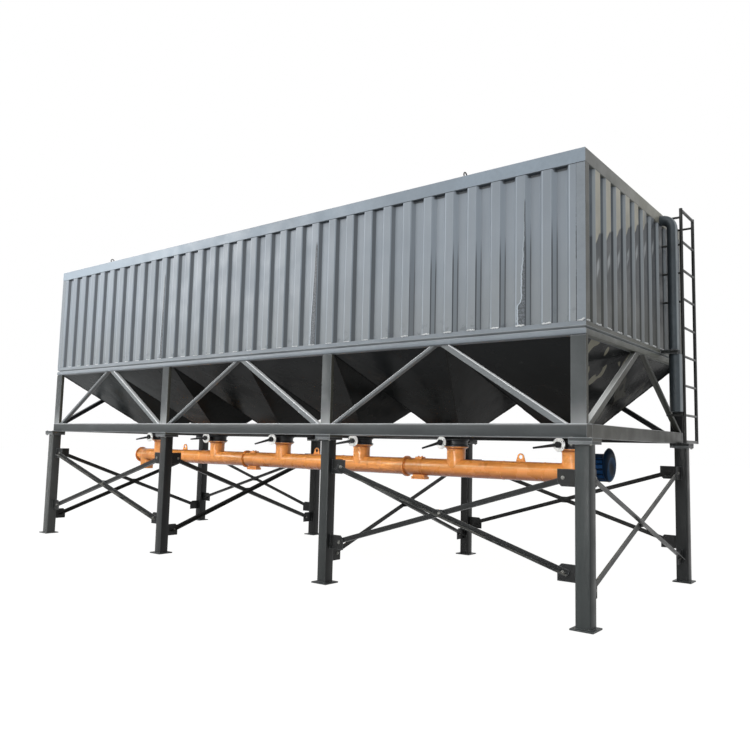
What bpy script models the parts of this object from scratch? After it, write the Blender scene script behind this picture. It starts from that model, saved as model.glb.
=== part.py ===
"""A horizontal cement silo: a corrugated steel box on six hoppers, a welded truss and eight bolted legs.

Butterfly valves under the hoppers feed a screw conveyor. The +X end carries the ladder and the fill pipe.
Metres, +Z up, the long side with the valve levers faces -Y, and the feet stand on z = 0.
"""

import math

import bmesh
import bpy
from mathutils import Matrix, Vector

# Driving dimensions: the whole
LENGTH = 7.0
WIDTH = 2.4
CHORD_BOTTOM_Z = 1.267
CHORD_SIZE = 0.102
TRUSS_HEIGHT = 0.612
BOTTOM_RAIL_HEIGHT = 0.097
PANEL_HEIGHT = 1.133
TOP_RAIL_HEIGHT = 0.106
GAP = 0.0003
SHARP_ANGLE = math.radians(35)

# Rails and walls
BOTTOM_RAIL_DEPTH = 0.125
BOTTOM_RAIL_LIP = 0.014
BOTTOM_RAIL_TUBE = 0.0504
BOTTOM_RAIL_ROUNDING = 0.018
BOTTOM_STRIP_RECESS = 0.002
TOP_RAIL_DEPTH = 0.08
CORNER_POST = 0.068
SHEET = 0.004
ROOF_SHEET = 0.004
ROOF_INSET = 0.05
RIB_DEPTH = 0.034
RIB_SLOPE = 0.03
SIDE_RIBS = 33
SIDE_RIB_MARGIN = 0.12
END_RIBS = 11
END_RIB_MARGIN = 0.0595
SIDE_RIB_FLAT = 0.073
END_RIB_FLAT = 0.055
EYE_LEFT_INSET = 1.08
EYE_RIGHT_INSET = 0.99
EYE_RADIUS = 0.021
EYE_WIRE = 0.0055
EYE_RISE = 0.014
EYE_SEGMENTS = 16

# Truss
BAYS = 3
END_FRAME_INSET = 0.02
CORNER_POST_WIDTH = 0.115
INNER_POST_WIDTH = 0.11
INNER_POST_SHIFTS = (-0.06, -0.037)
POST_DEPTH = 0.04
POST_RECESS = 0.001
DIAGONAL_SIZE = 0.05
THIN_DIAGONAL_SIZE = 0.03
DIAGONAL_DEPTH = 0.05
DIAGONAL_RECESS = 0.004
DIAGONAL_EMBED = 0.006
END_CHORD_PROUD = 0.001
FOOT_HALF = 0.053
APEX_SPREAD = 0.065
THIN_APEX_SPREAD = 0.045
END_APEX_SPREAD = 0.08
FOOT_SPREAD = 0.075
THIN_FOOT_SPREAD = 0.042
TUBE_ROUNDING = 0.012

# Legs
CORNER_LEG_SIZE = 0.11
INNER_LEG_SIZE = 0.1
LEG_INSET_Y = 0.017
BASE_PLATE = 0.166
BASE_PLATE_THICKNESS = 0.012
FLANGE_PLATE = 0.17
FLANGE_THICKNESS = 0.0205
GUSSET_REACH = 0.145
GUSSET_HEIGHT = 0.12
GUSSET_THICKNESS = 0.008
UPPER_GUSSET_DROP = 0.272
GUSSET_CORNER = 0.03
GUSSET_EMBED = 0.004
SIDE_LOWER_GUSSET_Z = 0.355
CROSS_LOWER_GUSSET_Z = 0.235

# Braces
ANGLE_SIZE = 0.04
ANGLE_THICKNESS = 0.005
BRACE_OVERLAP = 0.085
PACKER_SIZE = 0.06

# Hoppers and valves
HOPPERS_PER_BAY = 2
HOPPER_PLATE = 0.006
HOPPER_CLEARANCE = 0.0025
OUTLET_SIZE = 0.2
OUTLET_NECK = 0.045
OUTLET_BELOW_CHORD = 0.005
VALVE_RADIUS = 0.122
VALVE_HEIGHT = 0.07
VALVE_LIP = 0.012
VALVE_WAIST_STEP = 0.014
STEM_RADIUS = 0.022
STEM_REACH = 0.075
QUADRANT_RADIUS = 0.06
NOTCH_DEPTH = 0.006
NOTCHES = 9
NOTCH_STEP_DEG = 12.0
QUADRANT_THICKNESS = 0.008
LEVER_LENGTH = 0.255
LEVER_DROPS_DEG = (8.0, 4.0, 13.0, 10.0, 13.0, 7.0)
VALVE_TURNS_DEG = (4.0, 4.0, 3.0, 10.0, -14.0, -11.0)
LEVER_WIDTH = 0.03
LEVER_TIP_WIDTH = 0.017
LEVER_THICKNESS = 0.012
LEVER_HUB_RADIUS = 0.027
LEVER_HUB_DEPTH = 0.022

# Screw conveyor
TUBE_RADIUS = 0.084
TUBE_DROP = 0.204
TUBE_LEFT_REACH = 0.43
TUBE_RIGHT_REACH = 0.11
JOINT_AFTER_SECOND = 0.555
JOINT_AFTER_FOURTH = 0.59
JOINT_RADIUS = 0.102
JOINT_THICKNESS = 0.01
SPOUT_RADIUS = 0.088
SPOUT_LIP_RADIUS = 0.115
SPOUT_LIP = 0.01
SPOUT_FLARE = 0.03
OUTLET_SPOUT_REACH = 0.305
OUTLET_SPOUT_DROP = 0.185
OUTLET_SPOUT_BORE = 0.078
OUTLET_SPOUT_ROOF = 0.01
HATCHES_AFTER_JOINT = (0.046, 0.08)
HATCH_LENGTH = 0.156
HATCH_WIDTH = 0.08
HATCH_DROP = 0.038
HATCH_COVER = 0.026
HATCH_COVER_LIP = 0.009
SADDLE_LENGTH = 0.075
SADDLE_WIDTH = 0.07
SADDLE_RISE = 0.012
LUGS_AFTER_OUTLET = (0.522, 0.523, 0.676)
LUG_WIDTH = 0.094
LUG_TOP_WIDTH = 0.066
LUG_HEIGHT = 0.074
LUG_THICKNESS = 0.01
LUG_HOLE_RADIUS = 0.019
LUG_EMBED = 0.006

# Drive
GEARBOX_LENGTH = 0.08
GEARBOX_WIDTH = 0.2
GEARBOX_HEIGHT = 0.27
GEARBOX_RISE_SHARE = 0.08
MOTOR_RISE = 0.045
MOTOR_FLANGE = 0.225
MOTOR_FLANGE_THICKNESS = 0.014
MOTOR_FINS = 14
MOTOR_FIN_HEIGHT = 0.008
TERMINAL_LENGTH = 0.07
TERMINAL_WIDTH = 0.08
TERMINAL_RISE = 0.022
MOTOR_RADIUS = 0.105
MOTOR_LENGTH = 0.115
COWL_RADIUS = 0.142
COWL_DEPTH = 0.045
COWL_RISE = 0.035
COWL_LIP = 0.012
COWL_DISH = 0.018

# Fill pipe
PIPE_RADIUS = 0.0445
PIPE_WALL = 0.004
PIPE_BESIDE_LADDER = 0.095
PIPE_STANDOFF = 0.1
PIPE_BEND = 0.085
PIPE_TOP_DROP = 0.078
PIPE_TAIL = 0.441
CLAMP_WIDTH = 0.03
CLAMP_RISE = 0.07
CLAMP_BAND = 0.005

# Ladder
LADDER_STANDOFF = 0.15
LADDER_INSET = 0.165
LADDER_WIDTH = 0.39
LADDER_RAIL_RADIUS = 0.015
END_BAR_RADIUS = 0.0135
LADDER_DROP = 0.002
LADDER_RISE = 0.038
RUNG_SPACING = 0.258
LOWEST_RUNG_RISE = 0.245
RUNG_RADIUS = 0.011
STANDOFF_RADIUS = 0.01
STANDOFF_BELOW_RUNG = 0.03
TOP_STANDOFF_RISE = 0.064
WALL_STANDOFFS = 3

# Worked out from the driving dimensions
HALF_LENGTH = LENGTH / 2
HALF_WIDTH = WIDTH / 2
CHORD_TOP_Z = CHORD_BOTTOM_Z + CHORD_SIZE
RAIL_BOTTOM_Z = CHORD_TOP_Z + TRUSS_HEIGHT
RAIL_TOP_Z = RAIL_BOTTOM_Z + BOTTOM_RAIL_HEIGHT
TOP_RAIL_BOTTOM_Z = RAIL_TOP_Z + PANEL_HEIGHT
TOP_RAIL_TOP_Z = TOP_RAIL_BOTTOM_Z + TOP_RAIL_HEIGHT
FRAME_SPACING = (LENGTH - 2 * END_FRAME_INSET) / BAYS
FRAMES_X = tuple(FRAME_SPACING * (i - BAYS / 2) for i in range(BAYS + 1))
SIDE_RIB_PITCH = (LENGTH - 2 * CORNER_POST - 2 * SIDE_RIB_MARGIN) / (SIDE_RIBS - 1)
END_RIB_PITCH = (WIDTH - 2 * CORNER_POST - 2 * END_RIB_MARGIN) / (END_RIBS - 1)
LEG_OFFSET_Y = HALF_WIDTH - LEG_INSET_Y
UPPER_GUSSET_Z = CHORD_BOTTOM_Z - UPPER_GUSSET_DROP
HOPPER_COUNT = BAYS * HOPPERS_PER_BAY
OUTLET_SPACING = FRAME_SPACING / HOPPERS_PER_BAY
OUTLETS_X = tuple(OUTLET_SPACING * (i - (HOPPER_COUNT - 1) / 2) for i in range(HOPPER_COUNT))
OUTLET_Z = CHORD_BOTTOM_Z - OUTLET_BELOW_CHORD
VALVE_TOP_Z = OUTLET_Z - GAP
VALVE_Z = VALVE_TOP_Z - VALVE_HEIGHT / 2
SPOUT_TOP_Z = VALVE_TOP_Z - VALVE_HEIGHT - GAP
TUBE_Z = SPOUT_TOP_Z - TUBE_DROP
TUBE_LEFT_X = OUTLETS_X[0] - TUBE_LEFT_REACH
TUBE_RIGHT_X = OUTLETS_X[-1] + TUBE_RIGHT_REACH
JOINTS_X = (OUTLETS_X[1] + JOINT_AFTER_SECOND, OUTLETS_X[3] + JOINT_AFTER_FOURTH)
OUTLET_SPOUT_X = OUTLETS_X[0] - OUTLET_SPOUT_REACH
LUGS_X = tuple(OUTLETS_X[i] + after for i, after in zip((0, 2, 4), LUGS_AFTER_OUTLET))
UPPER_PLATE_BOTTOM_Z = CHORD_BOTTOM_Z - FLANGE_THICKNESS
LADDER_BOTTOM_Z = CHORD_BOTTOM_Z - LADDER_DROP
LADDER_TOP_Z = TOP_RAIL_TOP_Z + LADDER_RISE
LOWEST_RUNG_Z = LADDER_BOTTOM_Z + LOWEST_RUNG_RISE
RUNG_COUNT = int((LADDER_TOP_Z - LOWEST_RUNG_Z) / RUNG_SPACING)
PIPE_BOTTOM_Z = RAIL_BOTTOM_Z - PIPE_TAIL
LADDER_NEAR_Y = HALF_WIDTH - LADDER_INSET - LADDER_WIDTH
PIPE_Y = LADDER_NEAR_Y - PIPE_BESIDE_LADDER

PARTS = []


def clear_scene():
    for item in list(bpy.data.objects):
        bpy.data.objects.remove(item, do_unlink=True)


def finish(name, colour, roughness, metallic=0.0):
    material = bpy.data.materials.new(name)
    material.use_nodes = True
    shader = material.node_tree.nodes["Principled BSDF"]
    shader.inputs["Base Color"].default_value = (*colour, 1.0)
    shader.inputs["Roughness"].default_value = roughness
    shader.inputs["Metallic"].default_value = metallic
    return material


# Solids, each a bmesh


def box(x_range, y_range, z_range):
    solid = bmesh.new()
    bmesh.ops.create_cube(solid, size=1.0)
    for vert in solid.verts:
        for axis, (low, high) in enumerate((x_range, y_range, z_range)):
            vert.co[axis] = high if vert.co[axis] > 0 else low
    return solid


def rounded_rectangle(width, height, radius, steps=3):
    """Points of a rectangle with round corners, anticlockwise about its centre."""
    points = []
    for corner in range(4):
        sign_x = 1 if corner in (0, 3) else -1
        sign_y = 1 if corner < 2 else -1
        centre = Vector((sign_x * (width / 2 - radius), sign_y * (height / 2 - radius)))
        for step in range(steps + 1):
            angle = math.pi / 2 * (corner + step / steps)
            points.append(centre + radius * Vector((math.cos(angle), math.sin(angle))))
    return points


def circle(radius, segments):
    return [
        Vector((radius * math.cos(angle), radius * math.sin(angle)))
        for angle in (2 * math.pi * i / segments for i in range(segments))
    ]


def loft(rings):
    """Closed solid through rings of equal point counts, capped at both ends."""
    solid = bmesh.new()
    loops = [[solid.verts.new(point) for point in ring] for ring in rings]
    for low, high in zip(loops, loops[1:]):
        for i, vert in enumerate(low):
            j = (i + 1) % len(low)
            solid.faces.new((vert, low[j], high[j], high[i]))
    solid.faces.new(list(reversed(loops[0])))
    solid.faces.new(loops[-1])
    bmesh.ops.recalc_face_normals(solid, faces=solid.faces)
    return solid


def loft_ring(rings):
    """Closed solid through rings whose last ring joins the first."""
    solid = bmesh.new()
    loops = [[solid.verts.new(point) for point in ring] for ring in rings]
    for low, high in zip(loops, loops[1:] + loops[:1]):
        for i, vert in enumerate(low):
            j = (i + 1) % len(low)
            solid.faces.new((vert, low[j], high[j], high[i]))
    bmesh.ops.recalc_face_normals(solid, faces=solid.faces)
    return solid


def bar(profile, start, end, side):
    """A profile swept straight from start to end. Its first axis lies along side, its second along
    run x side."""
    start, end = Vector(start), Vector(end)
    run = (end - start).normalized()
    across = (Vector(side) - run * run.dot(Vector(side))).normalized()
    up = run.cross(across)
    return loft([[point + across * p[0] + up * p[1] for p in profile] for point in (start, end)])


def rod(radius, start, end, segments=12):
    run = Vector(end) - Vector(start)
    side = (0, 1, 0) if abs(run.normalized().y) < 0.9 else (1, 0, 0)
    return bar(circle(radius, segments), start, end, side)


def lathe(profile, segments, centre, axis="Z"):
    """A solid of revolution from (radius, height) points, closed on its axis at both ends."""
    rings = [
        [Vector((p.x, p.y, h)) for p in circle(r, segments)]
        for r, h in profile
    ]
    solid = loft(rings)
    turns = {
        "Z": Matrix(),
        "X": Matrix.Rotation(math.pi / 2, 4, "Y"),
        "Y": Matrix.Rotation(-math.pi / 2, 4, "X"),
    }
    bmesh.ops.transform(solid, matrix=Matrix.Translation(centre) @ turns[axis], verts=solid.verts)
    return solid


def plate(outline, thickness, to_world):
    """A flat outline of (u, v) points given thickness about its plane, then placed by to_world(u, v, w)."""
    return loft([[Vector(to_world(u, v, w)) for u, v in outline] for w in (-thickness / 2, thickness / 2)])


def mitred_ring(profile, half_length, half_width):
    """A profile of (inset, z) points run round a rectangle, mitred at its corners."""
    corners = ((1, -1), (1, 1), (-1, 1), (-1, -1))
    return loft_ring(
        [
            [Vector((sx * (half_length - inset), sy * (half_width - inset), z)) for inset, z in profile]
            for sx, sy in corners
        ]
    )


# Objects


def to_object(name, solid, material, parent, smooth=False, origin=(0, 0, 0)):
    mesh = bpy.data.meshes.new(name)
    bmesh.ops.translate(solid, vec=-Vector(origin), verts=solid.verts)
    solid.to_mesh(mesh)
    solid.free()
    for face in mesh.polygons:
        face.use_smooth = smooth
    if smooth:
        mesh.set_sharp_from_angle(angle=SHARP_ANGLE)
    mesh.materials.append(material)
    item = bpy.data.objects.new(name, mesh)
    item.parent = parent
    item.location = origin
    return item


def part(name, solids, material, parent, smooth=False, origin=(0, 0, 0)):
    """One node: its first solid, with the others added by a Boolean union."""
    body = to_object(name, solids[0], material, parent, smooth, origin)
    bpy.context.scene.collection.objects.link(body)
    PARTS.append(body)
    if len(solids) > 1:
        pieces = bpy.data.collections.new(name + "_pieces")
        pieces.hide_render = True
        bpy.context.scene.collection.children.link(pieces)
        for index, solid in enumerate(solids[1:]):
            piece = to_object(f"{name}_piece_{index + 1}", solid, material, parent, smooth, origin)
            piece.hide_render = True
            piece.display_type = "WIRE"
            pieces.objects.link(piece)
        union = body.modifiers.new("union", "BOOLEAN")
        union.operation = "UNION"
        union.solver = "EXACT"
        union.operand_type = "COLLECTION"
        union.collection = pieces
    return body


def cut(body, solid):
    """Takes a solid away from a body."""
    cutter = to_object(body.name + "_cutter", solid, body.data.materials[0], body.parent)
    cutter.hide_render = True
    cutter.display_type = "WIRE"
    bpy.context.scene.collection.objects.link(cutter)
    removal = body.modifiers.new("cut", "BOOLEAN")
    removal.operation = "DIFFERENCE"
    removal.solver = "EXACT"
    removal.object = cutter


# Legs and braces


def leg_size(frame):
    return CORNER_LEG_SIZE if frame in (0, 3) else INNER_LEG_SIZE


def gusset(centre, direction, leg_half, z):
    """A bolted plate from a leg's middle plane, reaching along direction, one of the four level axes."""
    low = z - GUSSET_HEIGHT / 2
    high = z + GUSSET_HEIGHT / 2
    root = leg_half - GUSSET_EMBED
    tip = leg_half + GUSSET_REACH
    toward_middle = -1 if z > (UPPER_GUSSET_Z + SIDE_LOWER_GUSSET_Z) / 2 else 1
    outline = [(root, low), (tip, low), (tip, high), (root, high)]
    if toward_middle > 0:
        outline[2:3] = [(tip, high - GUSSET_CORNER), (tip - GUSSET_CORNER, high)]
    else:
        outline[1:2] = [(tip - GUSSET_CORNER, low), (tip, low + GUSSET_CORNER)]
    along = Vector((*direction, 0))
    across = Vector((-direction[1], direction[0], 0))
    return plate(
        outline,
        GUSSET_THICKNESS,
        lambda u, v, w: Vector((*centre, 0)) + along * u + across * w + Vector((0, 0, v)),
    )


def add_leg(name, frame, side, material, root):
    x, y = FRAMES_X[frame], side * LEG_OFFSET_Y
    size = leg_size(frame)
    tube_profile = rounded_rectangle(size, size, TUBE_ROUNDING, 2)
    low = BASE_PLATE_THICKNESS / 2
    high = UPPER_PLATE_BOTTOM_Z - GAP - FLANGE_THICKNESS / 2
    solids = [bar(tube_profile, (x, y, low), (x, y, high), (1, 0, 0))]
    foot, head = BASE_PLATE / 2, FLANGE_PLATE / 2
    solids.append(box((x - foot, x + foot), (y - foot, y + foot), (0, BASE_PLATE_THICKNESS)))
    plate_top = UPPER_PLATE_BOTTOM_Z - GAP
    solids.append(box((x - head, x + head), (y - head, y + head), (plate_top - FLANGE_THICKNESS, plate_top)))
    toward_bay = 1 if frame in (0, 2) else -1
    for z in (UPPER_GUSSET_Z, SIDE_LOWER_GUSSET_Z):
        solids.append(gusset((x, y), (toward_bay, 0), size / 2, z))
    for z in (UPPER_GUSSET_Z, CROSS_LOWER_GUSSET_Z):
        solids.append(gusset((x, y), (0, -side), size / 2, z))
    part(name, solids, material, root, smooth=True)


def angle_bar(start, end, outward):
    """An angle iron with one leg flat against a gusset and the other standing outward at its lower edge."""
    half = ANGLE_SIZE / 2
    profile = [
        (0, -half),
        (ANGLE_SIZE, -half),
        (ANGLE_SIZE, -half + ANGLE_THICKNESS),
        (ANGLE_THICKNESS, -half + ANGLE_THICKNESS),
        (ANGLE_THICKNESS, half),
        (0, half),
    ]
    run = (Vector(end) - Vector(start)).normalized()
    if run.cross(Vector(outward)).z < 0:
        profile = [(u, -v) for u, v in reversed(profile)]
    return bar(profile, start, end, outward)


def add_brace(name, near, far, lower_z, normal, material, root):
    """Two crossed angle irons on either face of the gussets, bolted through a packer where they cross."""
    normal = Vector(normal)
    offset = normal * (GUSSET_THICKNESS / 2 + GAP)
    run = (Vector((*far, 0)) - Vector((*near, 0))).normalized()
    a, b = Vector((*near, 0)) - run * BRACE_OVERLAP, Vector((*far, 0)) + run * BRACE_OVERLAP
    up, low = Vector((0, 0, UPPER_GUSSET_Z)), Vector((0, 0, lower_z))
    middle = (a + b) / 2 + (up + low) / 2
    half = PACKER_SIZE / 2
    packer = plate(
        [(-half, -half), (half, -half), (half, half), (-half, half)],
        GUSSET_THICKNESS + 4 * GAP,
        lambda u, v, w: middle + run * u + Vector((0, 0, v)) + normal * w,
    )
    solids = [
        angle_bar(a + up + offset, b + low + offset, normal),
        angle_bar(a + low - offset, b + up - offset, -normal),
        packer,
    ]
    part(name, solids, material, root, smooth=True)


def gusset_tip(frame):
    return leg_size(frame) / 2 + GUSSET_REACH


def add_legs_and_braces(root):
    grey = finish("leg_paint", (0.055, 0.057, 0.055), 0.5)
    dark = finish("brace_paint", (0.045, 0.046, 0.045), 0.5)
    for side, side_name in ((-1, "front"), (1, "back")):
        for frame in range(4):
            add_leg(f"leg_{side_name}_{frame + 1}", frame, side, grey, root)
        for first, bay_name in ((0, "left"), (2, "right")):
            near = (FRAMES_X[first] + gusset_tip(first), side * LEG_OFFSET_Y)
            far = (FRAMES_X[first + 1] - gusset_tip(first + 1), side * LEG_OFFSET_Y)
            name = f"brace_{side_name}_{bay_name}"
            add_brace(name, near, far, SIDE_LOWER_GUSSET_Z, (0, side, 0), dark, root)
    for frame in range(4):
        reach = LEG_OFFSET_Y - gusset_tip(frame)
        x = FRAMES_X[frame]
        outward = -1 if frame < 2 else 1
        near, far = (x, -reach), (x, reach)
        add_brace(f"brace_cross_{frame + 1}", near, far, CROSS_LOWER_GUSSET_Z, (outward, 0, 0), dark, root)


# Truss, rails and box


def add_side_truss(name, side, material, root):
    """A long side's chord, four posts, six diagonals and the plates that take the legs."""
    y = side * (HALF_WIDTH - CHORD_SIZE / 2)
    chord = rounded_rectangle(CHORD_SIZE, CHORD_SIZE, TUBE_ROUNDING, 2)
    middle_z = CHORD_BOTTOM_Z + CHORD_SIZE / 2
    solids = [bar(chord, (-HALF_LENGTH, y, middle_z), (HALF_LENGTH, y, middle_z), (0, 1, 0))]
    post_y = side * (HALF_WIDTH - POST_DEPTH / 2 - POST_RECESS)
    end_x = HALF_LENGTH - CORNER_POST_WIDTH / 2 - POST_RECESS
    posts = (
        (-end_x, CORNER_POST_WIDTH),
        (FRAMES_X[1] + INNER_POST_SHIFTS[0], INNER_POST_WIDTH),
        (FRAMES_X[2] + INNER_POST_SHIFTS[1], INNER_POST_WIDTH),
        (end_x, CORNER_POST_WIDTH),
    )
    for x, width in posts:
        post = rounded_rectangle(width, POST_DEPTH, TUBE_ROUNDING / 2, 2)
        solids.append(bar(post, (x, post_y, middle_z), (x, post_y, RAIL_BOTTOM_Z - GAP), (1, 0, 0)))
    diagonal_y = side * (HALF_WIDTH - DIAGONAL_DEPTH / 2 - DIAGONAL_RECESS)
    for (left, left_width), (right, right_width) in zip(posts, posts[1:]):
        left, right = left + left_width / 2, right - right_width / 2
        apex = (left + right) / 2
        ends = (
            (left + THIN_FOOT_SPREAD, apex - THIN_APEX_SPREAD, THIN_DIAGONAL_SIZE),
            (right - FOOT_SPREAD, apex + APEX_SPREAD, DIAGONAL_SIZE),
        )
        for foot, tip, size in ends:
            low = CHORD_TOP_Z - DIAGONAL_EMBED
            solids.append(truss_diagonal(foot, tip, size, low, lambda u, z: (u, diagonal_y, z), (0, 1, 0)))
    for x in FRAMES_X:
        half = FLANGE_PLATE / 2
        leg_y = side * LEG_OFFSET_Y
        solids.append(
            box(
                (x - half, x + half),
                (leg_y - half, leg_y + half),
                (UPPER_PLATE_BOTTOM_Z, CHORD_BOTTOM_Z + 0.004),
            )
        )
    part(name, solids, material, root, smooth=True)


def truss_diagonal(foot, apex, size, low, to_world, normal):
    """A diagonal from low, at the chord's top, to just under the rail, cut level at both ends."""
    high = RAIL_BOTTOM_Z - GAP
    run = Vector((apex - foot, high - CHORD_TOP_Z))
    lean = run.x / run.y
    half = size / 2 * run.length / run.y
    rings = []
    for z in (low, high):
        middle = foot + (z - CHORD_TOP_Z) * lean
        ring = rounded_rectangle(2 * half, DIAGONAL_DEPTH, TUBE_ROUNDING, 2)
        rings.append([Vector(to_world(middle + p.x, z)) + Vector(normal) * p.y for p in ring])
    return loft(rings)


def add_end_truss(name, side, material, root):
    x = side * (HALF_LENGTH - CHORD_SIZE / 2)
    y_end = HALF_WIDTH - CHORD_SIZE - GAP
    middle_z = CHORD_BOTTOM_Z + CHORD_SIZE / 2
    chord = rounded_rectangle(CHORD_SIZE, CHORD_SIZE, TUBE_ROUNDING, 2)
    middle_z += END_CHORD_PROUD
    solids = [bar(chord, (x, -y_end, middle_z), (x, y_end, middle_z), (1, 0, 0))]
    diagonal_x = side * (HALF_LENGTH - DIAGONAL_DEPTH / 2 - DIAGONAL_RECESS)
    foot = HALF_WIDTH - POST_DEPTH - POST_RECESS - GAP - FOOT_HALF
    for sign, size in ((-1, DIAGONAL_SIZE), (1, THIN_DIAGONAL_SIZE)):
        low, tip = CHORD_TOP_Z + GAP, sign * END_APEX_SPREAD
        solids.append(truss_diagonal(sign * foot, tip, size, low, lambda u, z: (diagonal_x, u, z), (1, 0, 0)))
    part(name, solids, material, root, smooth=True)


def add_cross_beam(name, x, material, root):
    y_end = HALF_WIDTH - CHORD_SIZE - GAP
    middle_z = CHORD_BOTTOM_Z + CHORD_SIZE / 2
    chord = rounded_rectangle(CHORD_SIZE, CHORD_SIZE, TUBE_ROUNDING, 2)
    part(name, [bar(chord, (x, -y_end, middle_z), (x, y_end, middle_z), (1, 0, 0))], material, root)


def add_bottom_rail(material, root):
    """The lower half is a tube that bulges out, the upper half a flat strip set back from it."""
    seam = RAIL_BOTTOM_Z + BOTTOM_RAIL_TUBE
    radius = BOTTOM_RAIL_ROUNDING
    depth = BOTTOM_RAIL_DEPTH
    quarter = [math.pi / 2 * i / 4 for i in range(5)]
    bulge = [(radius - radius * math.sin(a), RAIL_BOTTOM_Z + radius - radius * math.cos(a)) for a in quarter]
    bulge_top = [(radius - radius * math.cos(a), seam - radius + radius * math.sin(a)) for a in quarter]
    recess = BOTTOM_STRIP_RECESS
    strip = [
        (BOTTOM_RAIL_LIP + radius / 2, seam + recess),
        (recess, seam + BOTTOM_RAIL_LIP),
        (recess, RAIL_TOP_Z),
    ]
    profile = bulge + bulge_top + strip + [(depth, RAIL_TOP_Z), (depth, RAIL_BOTTOM_Z)]
    part("bottom_rail", [mitred_ring(profile, HALF_LENGTH, HALF_WIDTH)], material, root, smooth=True)


def lifting_eye(x, y):
    z = TOP_RAIL_TOP_Z + EYE_RISE
    rings = []
    for i in range(EYE_SEGMENTS):
        angle = 2 * math.pi * i / EYE_SEGMENTS
        outward = Vector((0, math.cos(angle), math.sin(angle)))
        centre = Vector((x, y, z)) + outward * EYE_RADIUS
        rings.append([centre + outward * p.x - Vector((p.y, 0, 0)) for p in circle(EYE_WIRE, 8)])
    return loft_ring(rings)


def add_top_rail(material, root):
    depth, high, low = TOP_RAIL_DEPTH, TOP_RAIL_TOP_Z, TOP_RAIL_BOTTOM_Z
    edge = 0.004
    profile = [(0, low + edge), (0, high - edge), (edge, high), (depth, high), (depth, low), (edge, low)]
    solids = [mitred_ring(profile, HALF_LENGTH, HALF_WIDTH)]
    for x in (EYE_LEFT_INSET - HALF_LENGTH, HALF_LENGTH - EYE_RIGHT_INSET):
        for side in (-1, 1):
            solids.append(lifting_eye(x, side * (HALF_WIDTH - ROOF_INSET / 2)))
    part("top_rail", solids, material, root, smooth=True)


def corrugated_outline(half_span, ribs, pitch, flat):
    """(along, depth) points of the sheet's outer face, from -half_span to half_span. Ribs go in."""
    points = [(-half_span, 0.0)]
    for rib in range(ribs):
        centre = pitch * (rib - (ribs - 1) / 2)
        half = flat / 2
        points += [
            (centre - half - RIB_SLOPE, 0.0),
            (centre - half, RIB_DEPTH),
            (centre + half, RIB_DEPTH),
            (centre + half + RIB_SLOPE, 0.0),
        ]
    points.append((half_span, 0.0))
    return points


def add_wall(name, half_span, ribs, pitch, flat, to_world, material, root):
    """A corrugated sheet. Its two faces share one outline, a sheet's thickness apart."""
    face = corrugated_outline(half_span, ribs, pitch, flat)
    outline = face + [(along, depth + SHEET) for along, depth in reversed(face)]
    rings = [
        [Vector(to_world(along, depth, z)) for along, depth in outline]
        for z in (RAIL_TOP_Z + GAP, TOP_RAIL_BOTTOM_Z - GAP)
    ]
    part(name, [loft(rings)], material, root)


def add_box(root):
    wall_paint = finish("wall_paint", (0.262, 0.305, 0.352), 0.45)
    end_paint = finish("end_wall_paint", (0.15, 0.155, 0.15), 0.45)
    rail_paint = finish("rail_paint", (0.25, 0.28, 0.3), 0.45)
    add_bottom_rail(rail_paint, root)
    add_top_rail(rail_paint, root)
    size = CORNER_POST
    for sign_x, x_name in ((-1, "left"), (1, "right")):
        for sign_y, y_name in ((-1, "front"), (1, "back")):
            x = sorted((sign_x * HALF_LENGTH, sign_x * (HALF_LENGTH - size)))
            y = sorted((sign_y * HALF_WIDTH, sign_y * (HALF_WIDTH - size)))
            z = (RAIL_TOP_Z + GAP, TOP_RAIL_BOTTOM_Z - GAP)
            part(f"corner_post_{y_name}_{x_name}", [box(x, y, z)], rail_paint, root)
    for sign, name in ((-1, "front_wall"), (1, "back_wall")):
        add_wall(
            name,
            HALF_LENGTH - size - GAP,
            SIDE_RIBS,
            SIDE_RIB_PITCH,
            SIDE_RIB_FLAT,
            lambda along, depth, z, sign=sign: (along, sign * (HALF_WIDTH - depth), z),
            wall_paint,
            root,
        )
    for sign, name in ((-1, "left_end_wall"), (1, "right_end_wall")):
        add_wall(
            name,
            HALF_WIDTH - size - GAP,
            END_RIBS,
            END_RIB_PITCH,
            END_RIB_FLAT,
            lambda along, depth, z, sign=sign: (sign * (HALF_LENGTH - depth), along, z),
            end_paint,
            root,
        )
    x, y = HALF_LENGTH - ROOF_INSET, HALF_WIDTH - ROOF_INSET
    z = TOP_RAIL_TOP_Z + GAP
    part("roof", [box((-x, x), (-y, y), (z, z + ROOF_SHEET))], rail_paint, root)


# Hoppers, valves and levers


def rectangle(x_low, x_high, y_half, z):
    corners = ((x_low, -y_half), (x_high, -y_half), (x_high, y_half), (x_low, y_half))
    return [Vector((x, y, z)) for x, y in corners]


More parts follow.
